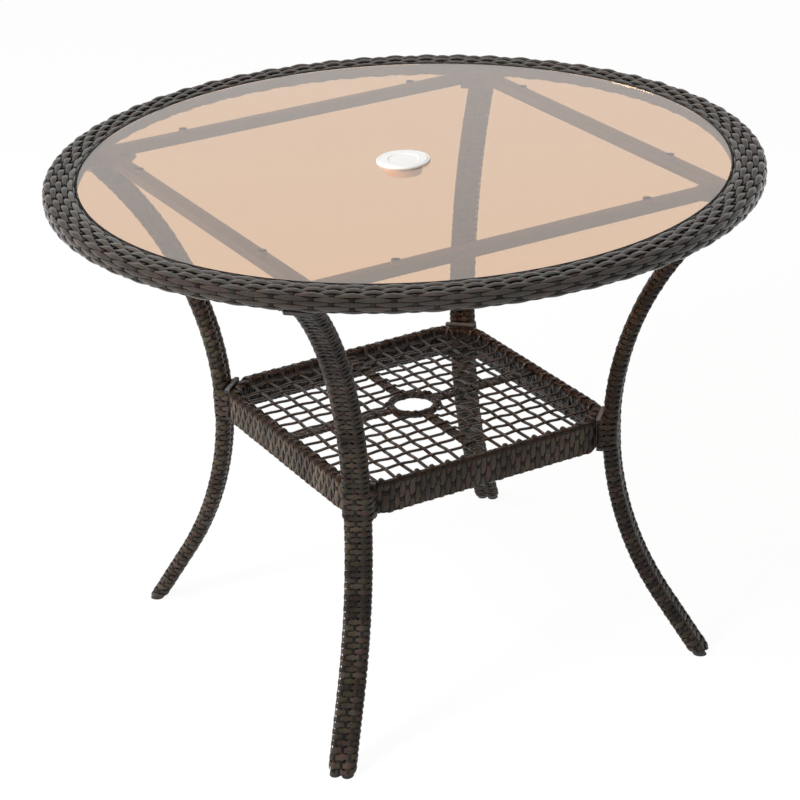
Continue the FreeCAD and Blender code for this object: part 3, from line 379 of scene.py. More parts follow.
LEG_ARC = 467.5 * MM
NECK_REACH, NECK_HEIGHT = 290.7 * MM, 341.6 * MM
FLARE_START = 88.2 * MM
FLARE_ANGLE = math.asin((NECK_HEIGHT - FLARE_START) / LEG_ARC)
WEAVE_TOP = 698.5 * MM
TUBE_OFFSET = 8.5 * MM
WRAP_RADIUS = 10.2 * MM
WRAP_START = 8.3 * MM
LUG_TOP = 369.7 * MM
LUG_BOTTOM = 319.6 * MM
LUG_HALF_WIDTH, LUG_HEEL, LUG_DEPTH = 23 * MM, 7 * MM, 16.5 * MM
LUG_FRONT_RADIUS, LUG_HEEL_RADIUS, LUG_BACK_RADIUS = WRAP_RADIUS * 0.9, 7 * MM, 3 * MM
LUG_RISE = 9 * MM
TUBE_DIP = 1.1 * MM
LEVEL_BELOW_RIM, LEVEL_ABOVE_FLOOR = 90 * MM, 34 * MM
LEG_TURNS = 92
LEG_STAKES = 9

# Just under the full radius, so that the leg's outline keeps a side between its two arcs.
leg_outline = box_outline(WRAP_RADIUS, TUBE_OFFSET + WRAP_RADIUS, WRAP_RADIUS * 0.9999)
lug_outline = Outline(
    [(WRAP_RADIUS, 0), (WRAP_RADIUS, TUBE_OFFSET + WRAP_RADIUS), (-LUG_HEEL, LUG_HALF_WIDTH),
     (-LUG_DEPTH, LUG_HALF_WIDTH), (-LUG_DEPTH, -LUG_HALF_WIDTH), (-LUG_HEEL, -LUG_HALF_WIDTH),
     (WRAP_RADIUS, -TUBE_OFFSET - WRAP_RADIUS)],
    [0, LUG_FRONT_RADIUS, LUG_HEEL_RADIUS, LUG_BACK_RADIUS, LUG_BACK_RADIUS, LUG_HEEL_RADIUS,
     LUG_FRONT_RADIUS])

FLARE_RUN = FLARE_START / math.cos(FLARE_ANGLE) - WRAP_START
TOP_ANGLE = math.asin((WEAVE_TOP - NECK_HEIGHT) / LEG_ARC)
LEG_LENGTH = FLARE_RUN + LEG_ARC * (FLARE_ANGLE + TOP_ANGLE)


def smooth_step(value):
    value = np.clip(value, 0, 1)
    return value * value * (3 - 2 * value)


def leg_centre(p):
    """The leg's lean and middle at distance p up from its foot cap: straight up the flare, and
    then round the arc, whose lean grows by the distance over the radius."""
    lean = -FLARE_ANGLE + np.maximum(p - FLARE_RUN, 0) / LEG_ARC
    below = np.minimum(p - FLARE_RUN, 0)
    out = NECK_REACH + LEG_ARC * (1 - np.cos(lean)) + below * np.sin(lean)
    up = NECK_HEIGHT + LEG_ARC * np.sin(lean) + below * np.cos(lean)
    return lean, out, up


def distance_at_height(height):
    return FLARE_RUN + LEG_ARC * (FLARE_ANGLE + math.asin((height - NECK_HEIGHT) / LEG_ARC))


def leg_surface(p, q):
    """Section point at share q, square to the leg's middle line, dipped between the two tubes.
    Between the lug's ends it is the lug's outline instead, which comes in smoothly from below and
    stops at one turn at the top. Near the rim and near the floor the section is sheared level, so
    that the weave ends level."""
    lean, out, up = leg_centre(p)
    pitch = LEG_LENGTH / LEG_TURNS
    lug_end = pitch * round(distance_at_height(LUG_TOP) / pitch - 0.5)
    lug_start = distance_at_height(LUG_BOTTOM)
    in_lug = smooth_step((p - lug_start) / LUG_RISE) * (p - q * pitch < lug_end)
    plain, plain_out = leg_outline.point(q * leg_outline.length)
    lug, lug_out = lug_outline.point(q * lug_outline.length)
    weight = in_lug[..., None]
    place = plain + (lug - plain) * weight
    outward = plain_out + (lug_out - plain_out) * weight
    across = np.clip(np.abs(place[..., 1]) / TUBE_OFFSET, 0, 1)
    dip = TUBE_DIP * 0.5 * (1 + np.cos(np.pi * across)) * (1 - in_lug)
    x = place[..., 0] - np.sign(place[..., 0]) * dip
    near_rim = smooth_step((p - (LEG_LENGTH - LEVEL_BELOW_RIM)) / LEVEL_BELOW_RIM)
    level = near_rim + smooth_step(1 - p / LEVEL_ABOVE_FLOOR)
    slide = x * np.tan(lean) * level
    radial = out + x * np.cos(lean) + slide * np.sin(lean)
    height = up - x * np.sin(lean) + slide * np.cos(lean)
    where = np.stack([radial, place[..., 1], height], -1)
    ahead, aside = outward[..., 0], outward[..., 1]
    normal = np.stack([ahead * np.cos(lean), aside, -ahead * np.sin(lean)], -1)
    return where, normal / np.linalg.norm(normal, axis=-1, keepdims=True)


# stake_begin is where the first stake lies, in stakes; steps are points per crossing; wander, pinch
# and wrap_width are shares of a turn's pitch or of the strand's own width.
WRAP_STYLE = {
    "stake_begin": 0, "steps": 6, "firmness": 0.8, "wander": 0.12, "pinch": 0.36,
    "wrap_width": 1.08, "wrap_thickness": 2.0 * MM, "wrap_lift": 0.55 * MM,
    "stake_width": 5.2 * MM, "stake_thickness": 1.0 * MM, "stake_lift": 0.5 * MM,
}


def make_leg(name, angle):
    wrap, stakes = wrapped_skin(f"leg_weave_{name}", leg_surface, LEG_LENGTH, leg_outline.length,
                                LEG_TURNS, LEG_STAKES, False, WRAP_STYLE, angle)
    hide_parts(f"leg_wicker_{name}")
    return wrap, stakes


# Shelf: rails, cross, centre ring and netting

SHELF_HALF, CORNER_REACH, BEND_RADIUS = 215.6 * MM, 272.5 * MM, 26 * MM
RAIL_WIDTH, RAIL_HEIGHT = 15.6 * MM, 48 * MM
SHELF_TOP = 370.3 * MM
WEB_HEIGHT = 360.8 * MM
SKIN_INSET = 1.7 * MM
POLE_HOLE, RING_WIDTH, RING_HEIGHT = 28 * MM, 11.5 * MM, 11 * MM
CROSS_WIDTH, CROSS_HEIGHT = 18.6 * MM, 7 * MM
NET_STRAND, NET_THICKNESS = 6.3 * MM, 3.0 * MM
OCTAGON_REACH, OCTAGON_RADIUS = 1.06, 12 * MM
CROSS_OVERLAP = 1 * MM
RAIL_TURNS, RAIL_STAKES = 194, 7
RING_TURNS, CROSS_TURNS, CROSS_STAKES = 28, 22, 5
# Painted shade on the rails' inner faces: how much the tone drops, and where it starts and fades
# in.
INSIDE_SHADE_SHARE, INSIDE_SHADE_START, INSIDE_SHADE_RUN = 0.9, 1 * MM, 5 * MM

# The netting: how its strands weave and sway, and how they start on the cross or the centre ring,
# climb over the rail and drop behind it.
NET_POINTS = 110
NET_LIFT, NET_FIRMNESS = 0.8 * MM, 0.8
SWAY, SWAY_LENGTH, SWAY_PHASES = 0.7 * MM, 15 * MM, 9
NET_SLOPE = 6 * MM
RING_TUCK, RING_REST, CROSS_REST, REST_CLEARANCE = 4 * MM, 3 * MM, 2 * MM, 0.3 * MM
RAIL_TUCK, RAIL_APPROACH, RAIL_SINK = 3 * MM, 5 * MM, 0.4 * MM
DROP_START, DROP_DEPTH = 9 * MM, 4 * MM

# How far in mm the netting's strands lie from the middle of the shelf, as they are seen: uneven,
# and other on each side of the cross.
ROWS_FRONT = (33, 57, 83, 106, 133, 159)
ROWS_BACK = (15, 44, 67, 92, 117, 144, 166, 192)
COLUMNS_LEFT = (37, 61.5, 86.6, 110, 138, 165, 195.5)
COLUMNS_RIGHT = (31, 54, 78.6, 102, 126, 151, 175)
NET_OFFSETS = {
    "front": (ROWS_FRONT, COLUMNS_LEFT), "right": (COLUMNS_RIGHT, ROWS_FRONT),
    "back": (ROWS_BACK, COLUMNS_RIGHT), "left": (COLUMNS_LEFT, ROWS_BACK),
}


def path_surface(path, section, height):
    """Section (out, up) at share q, carried along a level closed path: p is distance along it."""
    def surface(p, q):
        place, outward = path.point(p)
        shape, facing = section.point(q * section.length)
        where = np.concatenate([place + outward * shape[..., :1], height + shape[..., 1:]], -1)
        normal = np.concatenate([outward * facing[..., :1], facing[..., 1:]], -1)
        return where, normal
    return surface


def flat_corner(distance_in):
    """How far a flat across the shelf's corner, moved inward, lets x and y add up to."""
    return (CORNER_REACH - distance_in) * math.sqrt(2)


def paint_inside_shade(mesh):
    """Takes the tone down on the rails' inner faces to near black: painted shade there. A point's
    reach is the larger of |x| and |y|, or its sum over the corner's flat, so it is the same all
    along a rail."""
    place = np.empty(len(mesh.vertices) * 3, np.float32)
    mesh.vertices.foreach_get("co", place)
    x, y, _ = np.abs(place.reshape(-1, 3)).T
    reach = np.maximum(np.maximum(x, y), (x + y) / math.sqrt(2) - CORNER_REACH + SHELF_HALF)
    tone = np.empty(len(x), np.float32)
    data = mesh.attributes["tone"].data
    data.foreach_get("value", tone)
    inside = 1 - smooth_step((reach - SHELF_HALF + RAIL_WIDTH - INSIDE_SHADE_START) / INSIDE_SHADE_RUN)
    data.foreach_set("value", (tone - INSIDE_SHADE_SHARE * inside).astype(np.float32))


def make_rails():
    """The rails' path is a square with a flat across each corner, begun at the middle of +x."""
    side = SHELF_HALF - RAIL_WIDTH / 2
    cut = flat_corner(RAIL_WIDTH / 2) - side
    corners = [(side, 0), (side, cut), (cut, side), (-cut, side), (-side, cut),
               (-side, -cut), (-cut, -side), (cut, -side), (side, -cut)]
    path = Outline(corners, [0] + [BEND_RADIUS - RAIL_WIDTH / 2] * 8)
    section = box_outline(RAIL_WIDTH / 2 - SKIN_INSET, RAIL_HEIGHT / 2 - SKIN_INSET, 4 * MM)
    surface = path_surface(path, section, SHELF_TOP - RAIL_HEIGHT / 2)
    style = dict(WRAP_STYLE, stake_begin=0.5, wrap_lift=1.1 * MM, stake_width=6.4 * MM, pinch=0.3,
                 wrap_width=1.12)
    wrap, stakes = wrapped_skin("shelf_rail", surface, path.length, section.length,
                                RAIL_TURNS, RAIL_STAKES, True, style)
    # Painted shade on the inner faces of the rail's wrap and stakes.
    for mesh in (wrap.data, stakes.data):
        paint_inside_shade(mesh)
    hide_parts("shelf_frame_wicker")
    return wrap, stakes


def make_centre_ring():
    """The ring's path is an octagon with soft corners, as its strands pull it. Its corners stand
    a little outside the ring's middle circle, so that its sides lie a little inside."""
    middle = POLE_HOLE + RING_WIDTH / 2
    turn = np.radians(np.arange(8) * 45 + 22.5)
    corners = np.stack([np.cos(turn), np.sin(turn)], -1) * middle * OCTAGON_REACH
    path = Outline(corners, [OCTAGON_RADIUS] * 8)
    section = box_outline(RING_WIDTH / 2 - SKIN_INSET, RING_HEIGHT / 2 - SKIN_INSET, 2.6 * MM)
    surface = path_surface(path, section, WEB_HEIGHT)
    style = dict(WRAP_STYLE, stake_width=4 * MM)
    wrap, stakes = wrapped_skin("centre_ring", surface, path.length, section.length,
                                RING_TURNS, CROSS_STAKES, True, style)
    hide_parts("centre_ring_wicker")
    return wrap, stakes


def make_cross(name, angle):
    """A wrapped bar along +x, from the ring's wrap to the rail, turned to its side."""
    start = POLE_HOLE + RING_WIDTH - CROSS_OVERLAP
    length = SHELF_HALF - RAIL_WIDTH - start + CROSS_OVERLAP
    section = box_outline(CROSS_WIDTH / 2 - SKIN_INSET, CROSS_HEIGHT / 2 - SKIN_INSET, 2 * MM)

    def surface(p, q):
        """Section point (across, up) at share q, at distance p along the bar."""
        shape, facing = section.point(q * section.length)
        where = np.stack([start + p, -shape[..., 0], WEB_HEIGHT + shape[..., 1]], -1)
        return where, np.stack([0 * p, -facing[..., 0], facing[..., 1]], -1)

    style = dict(WRAP_STYLE, stake_width=5 * MM)
    wrap, stakes = wrapped_skin(f"cross_{name}", surface, length, section.length,
                                CROSS_TURNS, CROSS_STAKES, False, style, angle)
    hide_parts(f"cross_wicker_{name}")
    return wrap, stakes


def net_lines(offsets, crossings, sign):
    """Middle lines of the strands that run along x at the given offsets in y. Each rises over
    the cross or the centre ring at its start and over the rail at its end, and between them its
    lift changes sign from one crossing strand to the next."""
    offset = np.array(offsets)[:, None] * MM
    crossing = np.array(crossings) * MM
    number = np.arange(len(offsets))[:, None]
    rail_inside = np.minimum(SHELF_HALF - RAIL_WIDTH, flat_corner(RAIL_WIDTH) - offset)
    rail_outside = np.minimum(SHELF_HALF, flat_corner(0) - offset)
    start = np.sqrt(np.maximum((POLE_HOLE + RING_WIDTH - RING_TUCK) ** 2 - offset ** 2, 0))
    along = start + (rail_outside - RAIL_TUCK - start) * np.linspace(0, 1, NET_POINTS)[None]
    at_ring = start > 0
    first_height = np.where(at_ring, RING_HEIGHT, CROSS_HEIGHT) / 2 + REST_CLEARANCE
    first_end = np.where(at_ring, start + RING_REST, CROSS_WIDTH / 2 - CROSS_REST)
    first = 1 - smooth_step((along - first_end) / NET_SLOPE)
    rail = smooth_step((along - rail_inside + RAIL_APPROACH) / NET_SLOPE)
    drop = smooth_step((along - rail_outside + DROP_START) / NET_SLOPE)
    place = np.interp(along, crossing, np.arange(len(crossing)))
    lift = sign * NET_LIFT * over_under(place + number, NET_FIRMNESS) * (1 - first) * (1 - rail)
    climb = (SHELF_TOP - WEB_HEIGHT - RAIL_SINK) * rail - DROP_DEPTH * drop
    height = WEB_HEIGHT + lift + first_height * first + climb
    phase = SWAY_PHASES * strand_dice.random((len(offsets), 1))
    sway = SWAY * np.sin(along / SWAY_LENGTH + phase) * (1 - first) * (1 - rail)
    return np.stack([along, offset + sway, height], -1)


def make_net(name, angle):
    """One quadrant of netting: strands along its own x and y, each over one and under the next."""
    along_x, along_y = NET_OFFSETS[name]
    up = np.array([0.0, 0.0, 1.0])
    eastward = ribbon(net_lines(along_x, along_y, 1), up, NET_STRAND, NET_THICKNESS)
    northward = ribbon(net_lines(along_y, along_x, -1), up, NET_STRAND, NET_THICKNESS)
    northward = northward[..., [1, 0, 2]][:, :, ::-1]
    both_ways = [turned(eastward, angle), turned(northward, angle)]
    net = strand_mesh(f"net_strands_{name}", both_ways, [False, False])
    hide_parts(f"shelf_net_{name}")
    return net


# Finishes

class Graph:
    """The nodes and links of a tree, with short ways to add the kinds of node used here. Plain
    values and sockets can both be given to them."""

    def __init__(self, tree):
        self.nodes, self.links = tree.nodes, tree.links

    def feed(self, socket, value):
        if isinstance(value, bpy.types.NodeSocket):
            self.links.new(value, socket)
        else:
            socket.default_value = value

    def operation(self, node_type, kind, values):
        node = self.nodes.new(node_type)
        node.operation = kind
        for socket, value in zip(node.inputs, values):
            self.feed(socket, value)
        return node.outputs[0]

    def number(self, kind, *values):
        return self.operation("ShaderNodeMath", kind, values)

    def vector(self, kind, *values):
        return self.operation("ShaderNodeVectorMath", kind, values)

    def component(self, vector, index):
        node = self.nodes.new("ShaderNodeSeparateXYZ")
        self.feed(node.inputs[0], vector)
        return node.outputs[index]

    def noise(self, place, scale, detail):
        node = self.nodes.new("ShaderNodeTexNoise")
        for name, value in (("Vector", place), ("Scale", scale), ("Detail", detail)):
            self.feed(node.inputs[name], value)
        return node.outputs

    def mixed_colour(self, share, first, second):
        node = self.nodes.new("ShaderNodeMix")
        node.data_type = "RGBA"
        for name, value in (("Factor", share), ("A", first), ("B", second)):
            self.feed(node.inputs[name], value)
        return node.outputs["Result"]

    def blend(self, share, first, second, output):
        """Lead two shaders, mixed by a share, to the tree's output."""
        node = self.nodes.new("ShaderNodeMixShader")
        for socket, value in zip(node.inputs, (share, first.outputs[0], second.outputs[0])):
            self.feed(socket, value)
        self.links.new(node.outputs[0], self.nodes[output].inputs["Surface"])


def new_material(name):
    """A material with its graph and its main shader node."""
    material = bpy.data.materials.new(name)
    material.use_nodes = True
    graph = Graph(material.node_tree)
    return material, graph, graph.nodes["Principled BSDF"]


FINISH_OUTPUTS = {"Color": "Color", "Roughness": "Float", "Height": "Float"}
STRAND_INPUTS = {
    "Place": "Vector", "Ribbon": "Vector", "Tone": "Float", "Dark": "Color", "Middle": "Color",
    "Light": "Color", "Roughness": "Float", "Edge": "Color", "Edge Height": "Float",
}
GRAIN_INPUTS = {
    "Place": "Vector", "Base": "Color", "Worn": "Color", "Roughness": "Float",
    "Grain Scale": "Float",
}

# Noise scales are in cells per metre. A share says how far its pattern moves the tone or the hue.
BLOTCH_SCALE, BLOTCH_SHARE = 34, 0.9
STREAK_STRETCH, STREAK_SHARE, STREAK_ROUGHNESS = (60, 9, 1), 0.5, 0.35
# The grooves' tone share paints shade in the grooves and light on the ribs between them.
GROOVES_ROUND, GROOVE_SHADE_SHARE, GROOVE_HEIGHT = 10, 0.05, 0.3
HUE_SCALE, HUE_SHARE, HUE_BASE = 95, (0.9, 0.9, 0.9), (0.55, 0.55, 0.55)
EDGE_STEEPNESS = 350.0
STRAND_RELIEF, STRAND_COAT_ROUGHNESS = 0.2 * MM, 0.25
CLOUD_SCALE, CLOUD_START, CLOUD_END = 22, 0.45, 0.8
GRAIN_ROUGHNESS = 0.15
BUMP_STRENGTH = 0.6


def new_group(name, inputs):
    """A node group with the given inputs, and a colour, a roughness and a height as outputs."""
    group = bpy.data.node_groups.new(name, "ShaderNodeTree")
    for direction, sockets in (("INPUT", inputs), ("OUTPUT", FINISH_OUTPUTS)):
        for socket, kind in sockets.items():
            group.interface.new_socket(socket, in_out=direction, socket_type=f"NodeSocket{kind}")
    given, out = group.nodes.new("NodeGroupInput"), group.nodes.new("NodeGroupOutput")
    return group, Graph(group), given.outputs, out.inputs


def strand_finish_group():
    """Colour, roughness and relief of a resin strand: a tone of its own, darker and lighter
    blotches, streaks drawn out along it, small shifts of hue, and fine grooves along its length,
    with painted shade in the grooves and painted light on the ribs between them.
    From one height to another the colour goes over into the edge's colour."""
    group, graph, given, out = new_group("strand finish", STRAND_INPUTS)
    number = graph.number
    blotch = graph.noise(given["Place"], BLOTCH_SCALE, 2)[0]
    streak = graph.noise(graph.vector("MULTIPLY", given["Ribbon"], STREAK_STRETCH), 1.0, 3)[0]
    blotchy = number("MULTIPLY", number("SUBTRACT", blotch, 0.5), BLOTCH_SHARE)
    streaky = number("MULTIPLY", number("SUBTRACT", streak, 0.5), STREAK_SHARE)
    share_round = graph.component(given["Ribbon"], 1)
    grooves = number("SINE", number("MULTIPLY", share_round, 2 * math.pi * GROOVES_ROUND))
    tone = number("ADD", number("ADD", given["Tone"], blotchy), streaky)
    # Painted shade in the grooves and painted light on the ribs between: the tone follows the
    # grooves' relief.
    tone = number("ADD", tone, number("MULTIPLY", grooves, GROOVE_SHADE_SHARE))
    twice = number("MULTIPLY", tone, 2.0)
    lower = graph.mixed_colour(twice, given["Dark"], given["Middle"])
    upper = graph.mixed_colour(number("SUBTRACT", twice, 1.0), lower, given["Light"])
    hue = graph.noise(given["Place"], HUE_SCALE, 1)["Color"]
    shift = graph.vector("MULTIPLY_ADD", hue, HUE_SHARE, HUE_BASE)
    shifted = graph.vector("MULTIPLY", upper, shift)
    height = number("SUBTRACT", graph.component(given["Place"], 2), given["Edge Height"])
    above = number("MULTIPLY", height, EDGE_STEEPNESS)
    rough = number("ADD", given["Roughness"], number("MULTIPLY", streaky, STREAK_ROUGHNESS))
    relief = number("ADD", number("MULTIPLY", grooves, GROOVE_HEIGHT), streak)
    graph.feed(out["Color"], graph.mixed_colour(above, shifted, given["Edge"]))
    graph.feed(out["Roughness"], rough)
    graph.feed(out["Height"], relief)
    return group


def grain_group():
    """Fine grain of powder coat and moulded plastic: cloudy colour, roughness and relief."""
    group, graph, given, out = new_group("fine grain", GRAIN_INPUTS)
    grain = graph.noise(given["Place"], given["Grain Scale"], 2)[0]
    sharpen = graph.nodes.new("ShaderNodeMapRange")
    sharpen.inputs["From Min"].default_value = CLOUD_START
    sharpen.inputs["From Max"].default_value = CLOUD_END
    graph.feed(sharpen.inputs["Value"], graph.noise(given["Place"], CLOUD_SCALE, 4)[0])
    colour = graph.mixed_colour(sharpen.outputs[0], given["Base"], given["Worn"])
    rough = graph.number("MULTIPLY_ADD", grain, GRAIN_ROUGHNESS, given["Roughness"])
    graph.feed(out["Color"], colour)
    graph.feed(out["Roughness"], rough)
    graph.feed(out["Height"], grain)
    return group


STRAND_GROUP, GRAIN_GROUP = strand_finish_group(), grain_group()


def finished_material(name, group, values, relief):
    """A material whose colour, roughness and bump come from a finish group with these values."""
    material, graph, shader = new_material(name)
    finish = graph.nodes.new("ShaderNodeGroup")
    finish.node_tree = group
    place = graph.nodes.new("ShaderNodeTexCoord").outputs["Object"]
    for socket, value in dict(values, Place=place).items():
        graph.feed(finish.inputs[socket], value)
    bump = graph.nodes.new("ShaderNodeBump")
    bump.inputs["Distance"].default_value = relief
    bump.inputs["Strength"].default_value = BUMP_STRENGTH
    graph.feed(bump.inputs["Height"], finish.outputs["Height"])
    graph.feed(shader.inputs["Base Color"], finish.outputs["Color"])
    graph.feed(shader.inputs["Roughness"], finish.outputs["Roughness"])
    graph.feed(shader.inputs["Normal"], bump.outputs["Normal"])
    return material, graph, shader, finish


def strand_material(name, dark, middle, light, roughness, shine,
                    gloss=0.0, edge=(0, 0, 0), edge_height=9.0):
    """Resin strand from dark to light. An edge height above the table means no edge colour."""
    values = {"Dark": (*dark, 1), "Middle": (*middle, 1), "Light": (*light, 1),
              "Edge": (*edge, 1), "Roughness": roughness, "Edge Height": edge_height}
    material, graph, shader, finish = finished_material(name, STRAND_GROUP, values, STRAND_RELIEF)
    ribbon_map = graph.nodes.new("ShaderNodeUVMap")
    tone = graph.nodes.new("ShaderNodeAttribute")
    ribbon_map.uv_map = "strand"
    tone.attribute_name = "tone"
    graph.feed(finish.inputs["Ribbon"], ribbon_map.outputs["UV"])
    graph.feed(finish.inputs["Tone"], tone.outputs["Fac"])
    shader.inputs["Specular IOR Level"].default_value = shine
    shader.inputs["Coat Weight"].default_value = gloss
    shader.inputs["Coat Roughness"].default_value = STRAND_COAT_ROUGHNESS
    return material


def grain_material(name, base, worn, roughness, grain_scale, relief=0.05 * MM, metallic=0.0):
    """Powder coat, plastic or metal, from its plain colour to its worn one."""
    values = {"Base": (*base, 1), "Worn": (*worn, 1), "Roughness": roughness,
              "Grain Scale": grain_scale}
    material, _, shader, _ = finished_material(name, GRAIN_GROUP, values, relief)
    shader.inputs["Metallic"].default_value = metallic
    return material


def glass_material(name, tint, shadow_tint):
    """Clear tinted glass. A shadow ray passes it with its tint, so what lies under it stays lit."""
    material, graph, shader = new_material(name)
    values = {"Base Color": (*tint, 1), "Roughness": 0.0, "Transmission Weight": 1.0,
              "IOR": 1.5, "Coat Weight": 1.0, "Coat Roughness": 0.03}
    for socket, value in values.items():
        shader.inputs[socket].default_value = value
    shadow = graph.nodes.new("ShaderNodeLightPath").outputs["Is Shadow Ray"]
    clear = graph.nodes.new("ShaderNodeBsdfTransparent")
    clear.inputs["Color"].default_value = (*shadow_tint, 1)
    graph.blend(shadow, shader, clear, "Material Output")
    return material


def dress(piece, material):
    piece.data.materials.clear()
    piece.data.materials.append(material)


rim_wicker = strand_material(
    "rim wicker", (0.014, 0.0085, 0.006), (0.033, 0.0225, 0.0165), (0.043, 0.0375, 0.030),
    roughness=0.22, shine=0.32, gloss=0.4)
leg_wicker = strand_material(
    "leg wicker", (0.013, 0.009, 0.0065), (0.044, 0.0315, 0.0225), (0.078, 0.060, 0.045),
    roughness=0.34, shine=0.16)
rail_wicker = strand_material(
    "rail wicker", (0.013, 0.0075, 0.005), (0.055, 0.038, 0.0265), (0.112, 0.086, 0.064),
    roughness=0.32, shine=0.2, edge=(0.026, 0.013, 0.008), edge_height=0.3632)
net_wicker = strand_material(
    "net wicker", (0.006, 0.004, 0.003), (0.020, 0.012, 0.0085), (0.042, 0.031, 0.026),
    roughness=0.26, shine=0.3, gloss=0.2)
stake_wicker = strand_material(
    "stakes", (0.005, 0.004, 0.0035), (0.014, 0.011, 0.009), (0.028, 0.024, 0.02),
    roughness=0.4, shine=0.15)
painted_steel = grain_material(
    "painted steel", (0.028, 0.023, 0.021), (0.05, 0.042, 0.038), 0.38, 900)
# Near black: painted shade for the rim's hollow and for the gap beside the glass.
rim_shade = grain_material(
    "rim painted shade", (0.008, 0.006, 0.005), (0.014, 0.011, 0.009), 0.7, 500)
zinc_bolts = grain_material(
    "zinc bolts", (0.42, 0.42, 0.42), (0.3, 0.29, 0.28), 0.3, 700, 0.03 * MM, metallic=1.0)
white_plastic = grain_material(
    "white plastic", (0.80, 0.79, 0.77), (0.74, 0.73, 0.70), 0.32, 500, 0.02 * MM)
foot_plastic = grain_material(
    "foot plastic", (0.016, 0.015, 0.014), (0.03, 0.028, 0.026), 0.5, 700)
dark_bolts = grain_material(
    "dark bolts", (0.03, 0.026, 0.024), (0.06, 0.055, 0.05), 0.4, 700, 0.03 * MM, metallic=1.0)
grey_plastic = grain_material(
    "grey plastic", (0.105, 0.118, 0.13), (0.14, 0.15, 0.16), 0.45, 700)
amber_glass = glass_material("amber glass", (0.75, 0.46, 0.26), (0.70, 0.52, 0.38))
pad_plastic = grain_material(
    "clear pads", (0.13, 0.105, 0.1), (0.1, 0.085, 0.08), 0.3, 400, 0.02 * MM)

NODE_FINISH = {
    "glass_top": amber_glass, "glass_pads": pad_plastic, "umbrella_ring": white_plastic,
    "umbrella_plug": white_plastic, "leg_bolts": zinc_bolts, "shelf_bolts": dark_bolts,
    "bracket_caps": grey_plastic,
}
for node_name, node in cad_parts.items():
    if node_name.startswith("foot_caps"):
        dress(node, foot_plastic)
    else:
        dress(node, NODE_FINISH.get(node_name, painted_steel))


def add_piece(piece, material):
    dress(piece, material)
    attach(piece, "table_frame")


def add_skin(wrap, stakes, material):
    add_piece(wrap, material)
    add_piece(stakes, stake_wicker)


rim_rows, rim_stakes, rim_shade_core, rim_shade_lip = make_rim()
add_skin(rim_rows, rim_stakes, rim_wicker)
add_piece(rim_shade_core, rim_shade)
add_piece(rim_shade_lip, rim_shade)
for leg_name, leg_angle in LEG_ANGLES.items():
    add_skin(*make_leg(leg_name, leg_angle), leg_wicker)
    add_piece(make_net(leg_name, leg_angle - 45), net_wicker)
for side_name, side_angle in SIDE_ANGLES.items():
    add_skin(*make_cross(side_name, side_angle), net_wicker)
add_skin(*make_rails(), rail_wicker)
add_skin(*make_centre_ring(), net_wicker)


# Studio: white floor, white surroundings, soft lamps and the photograph's camera

FLOOR_GLOW, FLOOR_GLOW_SHARE = 1.07, 0.88
WORLD_LIGHT, WORLD_IN_GLASS = 0.35, 0.8
LAMP_AIM = (0, 0, 0.45)
CAMERA_PLACE = (-1.5645, -2.83612, 1.8623)
CAMERA_YAW, CAMERA_PITCH, CAMERA_ROLL = 0.49825, -0.432, -0.04286
FOCAL_PIXELS, PHOTO_PIXELS, SENSOR_WIDTH = 2469.25, 800, 36


def eye_share(graph, path):
    """1 for what the camera sees, straight or by gloss or through glass, and 0 for light."""
    straight = graph.number("MAXIMUM", path["Is Camera Ray"], path["Is Glossy Ray"])
    return graph.number("MAXIMUM", straight, path["Is Transmission Ray"])


def make_floor():
    """A wide floor that shows white to the eye and in reflections, under a faint soft shadow."""
    mesh = bpy.data.meshes.new("studio_floor")
    mesh.from_pydata([(-9, -9, 0), (9, -9, 0), (9, 9, 0), (-9, 9, 0)], [], [(0, 1, 2, 3)])
    floor = bpy.data.objects.new("studio_floor", mesh)
    bpy.context.scene.collection.objects.link(floor)
    material, graph, shader = new_material("studio white")
    shader.inputs["Base Color"].default_value = (0.5, 0.5, 0.5, 1)
    shader.inputs["Roughness"].default_value = 0.9
    glow = graph.nodes.new("ShaderNodeEmission")
    glow.inputs["Strength"].default_value = FLOOR_GLOW
    path = graph.nodes.new("ShaderNodeLightPath").outputs
    share = graph.number("MULTIPLY", eye_share(graph, path), FLOOR_GLOW_SHARE)
    graph.blend(share, shader, glow, "Material Output")
    mesh.materials.append(material)


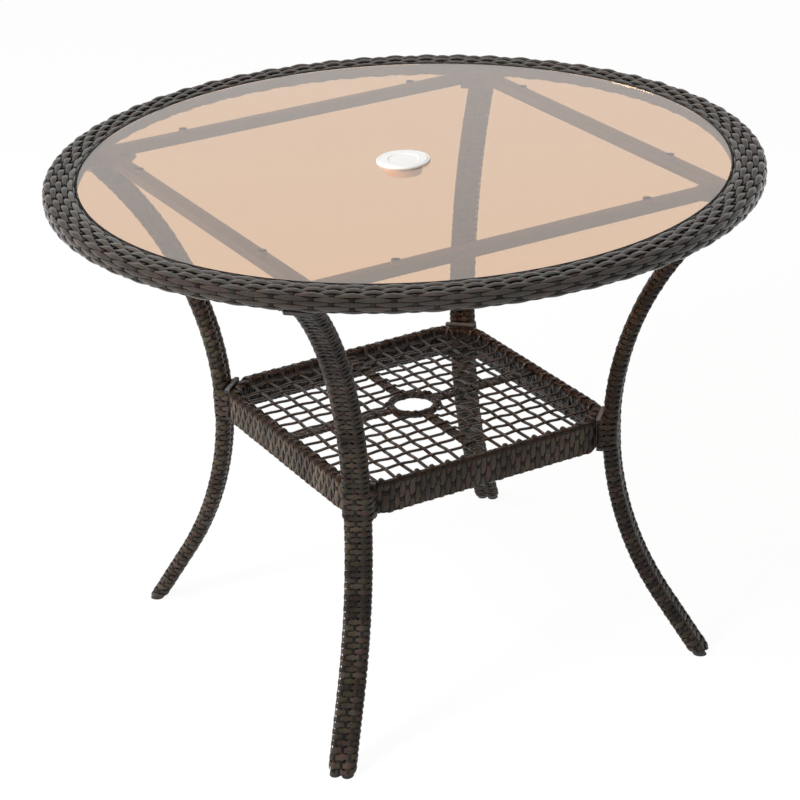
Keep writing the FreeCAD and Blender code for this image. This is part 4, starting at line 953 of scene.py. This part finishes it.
def make_world():
    """White where the camera sees it, a little less in gloss and glass, and grey as light."""
    world = bpy.data.worlds.new("studio")
    bpy.context.scene.world = world
    world.use_nodes = True
    graph = Graph(world.node_tree)
    light, white = graph.nodes["Background"], graph.nodes.new("ShaderNodeBackground")
    for background in (light, white):
        background.inputs["Color"].default_value = (1, 1, 1, 1)
    light.inputs["Strength"].default_value = WORLD_LIGHT
    path = graph.nodes.new("ShaderNodeLightPath").outputs
    rest = 1 - WORLD_IN_GLASS
    level = graph.number("MULTIPLY_ADD", path["Is Camera Ray"], rest, WORLD_IN_GLASS)
    graph.feed(white.inputs["Strength"], level)
    graph.blend(eye_share(graph, path), light, white, "World Output")


def add_lamp(name, place, power, size):
    """A soft lamp aimed at the table, which the glass top doesn't mirror."""
    lamp = bpy.data.lights.new(name, "AREA")
    lamp.energy = power
    lamp.size = size
    lamp_object = bpy.data.objects.new(name, lamp)
    lamp_object.visible_glossy = False
    bpy.context.scene.collection.objects.link(lamp_object)
    aim = Vector(LAMP_AIM) - Vector(place)
    turn = aim.to_track_quat("-Z", "Y").to_matrix().to_4x4()
    lamp_object.matrix_world = Matrix.Translation(place) @ turn


def add_camera():
    """The photograph's camera. The columns of its turn are right, up and backward."""
    forward = math.cos(CAMERA_PITCH)
    ahead = Vector((forward * math.sin(CAMERA_YAW), forward * math.cos(CAMERA_YAW),
                    math.sin(CAMERA_PITCH)))
    level = ahead.cross(Vector((0, 0, 1))).normalized()
    upright = level.cross(ahead)
    right = level * math.cos(CAMERA_ROLL) + upright * math.sin(CAMERA_ROLL)
    up = upright * math.cos(CAMERA_ROLL) - level * math.sin(CAMERA_ROLL)
    camera = bpy.data.cameras.new("camera")
    camera.sensor_width = SENSOR_WIDTH
    camera.lens = SENSOR_WIDTH * FOCAL_PIXELS / PHOTO_PIXELS
    camera_object = bpy.data.objects.new("camera", camera)
    turn = Matrix((right, up, -ahead)).transposed()
    camera_object.matrix_world = Matrix.Translation(CAMERA_PLACE) @ turn.to_4x4()
    bpy.context.scene.collection.objects.link(camera_object)
    bpy.context.scene.camera = camera_object


make_floor()
make_world()
add_lamp("key", (-3.3, -0.5, 2.9), 180, 1.1)
add_lamp("fill", (2.4, -2.6, 2.2), 12, 2.6)
add_lamp("back", (-2.7, 2.2, 2.1), 72, 1.4)
add_camera()
bpy.context.scene.view_settings.view_transform = "Standard"
